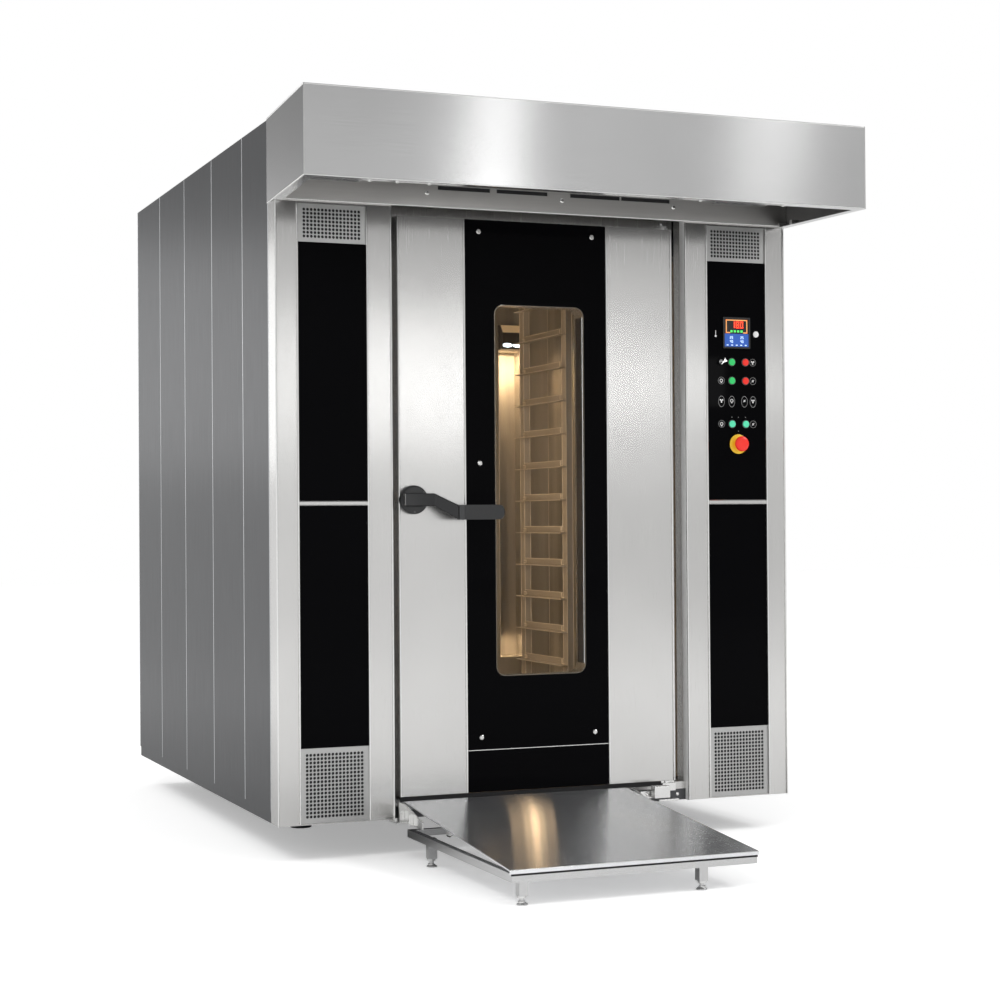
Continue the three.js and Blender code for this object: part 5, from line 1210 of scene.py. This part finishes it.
def number(form, text, x, z, height, y, line):
    for i, character in enumerate(text):
        digit(form, character, x + i * height * 0.72, z, height, y, line)


SCREEN_MARGIN = 6.5 * MM
SCREEN_SINK = 2 * MM
SCREEN_T = 0.5 * MM
SPLIT_SHARE = 0.47
BORDER_W = 4 * MM
BORDER_FOOT = 18 * MM


def make_display():
    """A lit screen: red and green digits on black above, white digits on blue below."""
    (x0, y, z0), (x1, _, z1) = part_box("display_module")
    x0, x1, z0, z1 = x0 + SCREEN_MARGIN, x1 - SCREEN_MARGIN, z0 + SCREEN_MARGIN, z1 - SCREEN_MARGIN
    y += SCREEN_SINK
    face = y - SCREEN_T
    split = z0 + (z1 - z0) * SPLIT_SHARE
    make_strip("screen_upper", (x0, face, split), (x1, y, z1), SCREEN_BLACK, slot="black_plastic")
    make_strip("screen_lower", (x0, face, z0), (x1, y, split), SCREEN_BLUE, slot="black_plastic")
    border, red, green, white = Form(), Form(), Form(), Form()

    def lit(form, xa, za, xb, zb):
        form.box((xa, face - PRINT_T, za), (xb, face, zb))

    t = BORDER_W
    left, right, foot, top = x0 + 5 * MM, x1 - 5 * MM, split + 2 * MM, z1 - 2 * MM
    lit(border, left, top - t, right, top)
    lit(border, left, foot, left + t, top)
    lit(border, right - t, foot, right, top)
    lit(border, left, foot, left + BORDER_FOOT, foot + t)
    lit(border, right - BORDER_FOOT, foot, right, foot + t)
    number(red, "180", x0 + 30 * MM, split + 21 * MM, 24 * MM, face, 3.6 * MM)
    for i in range(4):
        gx = x0 + (24 + i * 14) * MM
        lit(green, gx, split + 5 * MM, gx + 9 * MM, split + 13 * MM)
    for column in (0.22, 0.66):
        for row, text in ((0.60, "25"), (0.30, "40")):
            x, z = x0 + (x1 - x0) * column, z0 + (split - z0) * row
            number(white, text, x, z, 10 * MM, face, 1.6 * MM)
    for i in range(5):
        wx = x0 + (8 + i * 19) * MM
        lit(white, wx, z0 + 4 * MM, wx + 8 * MM, z0 + 7.5 * MM)
    for word, form, material in (
        ("border", border, SCREEN_ORANGE), ("red", red, DIGIT_RED), ("green", green, DIGIT_GREEN),
        ("white", white, DIGIT_WHITE),
    ):
        make_piece(f"screen_{word}", form, material, slot="black_plastic")


# ---- Handle ----
DRUM_BORE = 12.5
# The drum's front, in mm: radius, and depth behind its foremost ring.
DRUM_FRONT = ((DRUM_BORE, 1), (40, 0), (46, 0.4), (48.6, 1.4), (49.8, 3.4))
DRUM_R = 50
DRUM_SCREWS = ((34 * MM, 26 * MM), (0, -42 * MM))


def make_rosette():
    """The round black drum behind the lever, with two small screws."""
    x, z = middle_of("handle_rosette")
    low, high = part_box("handle_rosette")
    f, back = low[1], high[1]
    profile = [(r * MM, f + d * MM) for r, d in DRUM_FRONT]
    profile += [(DRUM_R * MM, back), (DRUM_BORE * MM, back), (DRUM_BORE * MM, f + 1 * MM)]
    form = Form()
    form.turned_y(profile, x, z, 72)
    drum = make_piece("handle_drum", form, SATIN_BLACK, "door", "black_plastic", smooth=True)
    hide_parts("handle_rosette")
    screws = Form()
    for dx, dz in DRUM_SCREWS:
        bolt(screws, x + dx, z + dz, f + 0.3 * MM, 3.5 * MM, 1.5 * MM)
    make_piece("drum_screws", screws, FRAME_GREY, "door", "black_plastic", smooth=True)


def bar_ring(x, y, z, height, thickness, along, bevel):
    """The bevelled upright section of the lever, square to its path as seen from above."""
    t, h, b = thickness / 2, height / 2, bevel
    half = [(t, h - b), (t - b, h), (b - t, h), (-t, h - b)]
    section = half + [(-u, -v) for u, v in half]
    normal = (along[1], -along[0])
    return [(x + normal[0] * u, y + normal[1] * u, z + v) for u, v in section]


LEVER = {"body": "handle", "slot": "black_plastic", "smooth": True}
# How far its middle stands before the glass, near the drum and at the grip.
LEVER_NEAR = 41 * MM
LEVER_FAR = 82 * MM
# Places along it, from the drum's middle.
BEND_X = 64 * MM
GRIP_X = 141 * MM
LEVER_START = 42 * MM
CRANK_END = 4 * MM
# The grip's drop in mm, and the crank's sections: share of its length, height and thickness.
LEVER_DROP = 44
CRANK = ((0.12, 44, 17), (0.5, 46, 16), (0.9, 49, 16), (1.0, 50, 16))
SHAFT_R = 22 * MM
GRIP_HALF = 25.5 * MM
GRIP_HALF_T = 12 * MM
GRIP_ROUND = 0.8
JOINT_L = 17 * MM
JOINT_GAP = 0.5 * MM


def make_lever():
    """The lever: a straight block, a crank out and down, and a flat grip with a round end."""
    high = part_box("handle_lever")[1]
    px, pz = middle_of("handle_rosette")
    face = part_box("door_front_glass")[0][1]
    near, far = face - LEVER_NEAR, face - LEVER_FAR
    bend, grip, tip = px + BEND_X, px + GRIP_X, high[0]
    start = bend + CRANK_END
    # Each station: x and y of the path's middle, then its rise, height and thickness in mm.
    stations = [(px - LEVER_START, near, 0, 44, 26), (bend - 5 * MM, near, 0, 44, 26)]
    stations.append((start, near, -0.5, 44, 22))
    for share, height, thick in CRANK:
        x = start + (grip - bend - CRANK_END) * share
        stations.append((x, near + (far - near) * share, -LEVER_DROP * share, height, thick))
    rings = []
    for i, (x, y, dz, height, thick) in enumerate(stations):
        before, after = stations[max(i - 1, 0)], stations[min(i + 1, len(stations) - 1)]
        along = Vector((after[0] - before[0], after[1] - before[1])).normalized()
        rings.append(bar_ring(x, y, pz + dz * MM, height * MM, thick * MM, along, 3 * MM))
    arm = Form()
    arm.loft(rings)
    arm.rod((px, near, pz), (px, face - 24 * MM, pz), SHAFT_R, 40)
    lever = make_piece("lever_arm", arm, SATIN_BLACK, **LEVER)
    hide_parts("handle_lever")
    make_grip(grip, tip, pz - LEVER_DROP * MM, far)
    x = px - LEVER_START
    end = (x - 1.2 * MM, near - 11 * MM, pz - 19 * MM), (x, near + 11 * MM, pz + 19 * MM)
    make_strip("lever_end", *end, CHROME, **LEVER)


def make_grip(x, tip, z, y):
    """The joint of the lever and its flat grip, whose end is round."""
    y0, y1 = y - GRIP_HALF_T, y + GRIP_HALF_T
    bottom, top = z - GRIP_HALF, z + GRIP_HALF
    x0, x1 = x - 2 * MM, x + JOINT_L
    joint = Form()
    joint.prism_y([(x0, bottom), (x1, bottom), (x1, top), (x0, top)], y0, y1)
    make_piece("lever_joint", joint, JOINT_GREY, **LEVER, bevel=2 * MM)
    centre, reach = tip - GRIP_HALF * GRIP_ROUND, GRIP_HALF * GRIP_ROUND
    outline = [(x1 + JOINT_GAP, bottom)]
    for k in range(17):
        angle = radians(-90 + k * 180 / 16)
        outline.append((centre + reach * cos(angle), z + GRIP_HALF * sin(angle)))
    outline.append((x1 + JOINT_GAP, top))
    bar = Form()
    bar.prism_y(outline, y0, y1)
    make_piece("lever_grip", bar, SATIN_BLACK, **LEVER, bevel=3 * MM)


# ---- Assembly ----
make_camera()
make_world()
make_floor()
make_lamps()
make_chamber_light()
dress_nodes()
make_grilles()
make_seams()
make_column_folds()
make_door_folds()
make_hood_edges()
make_baffle_details()
make_rack_edges()
make_chamber_edges()
make_lamp_details()
make_window_rim()
make_door_lines()
make_hood_underside()
make_ramp_edges()
make_ramp_fittings()
make_icons()
make_panel_fittings()
make_caps()
make_estop()
make_key()
make_display()
make_rosette()
make_lever()

bpy.context.scene.view_settings.view_transform = "Standard"
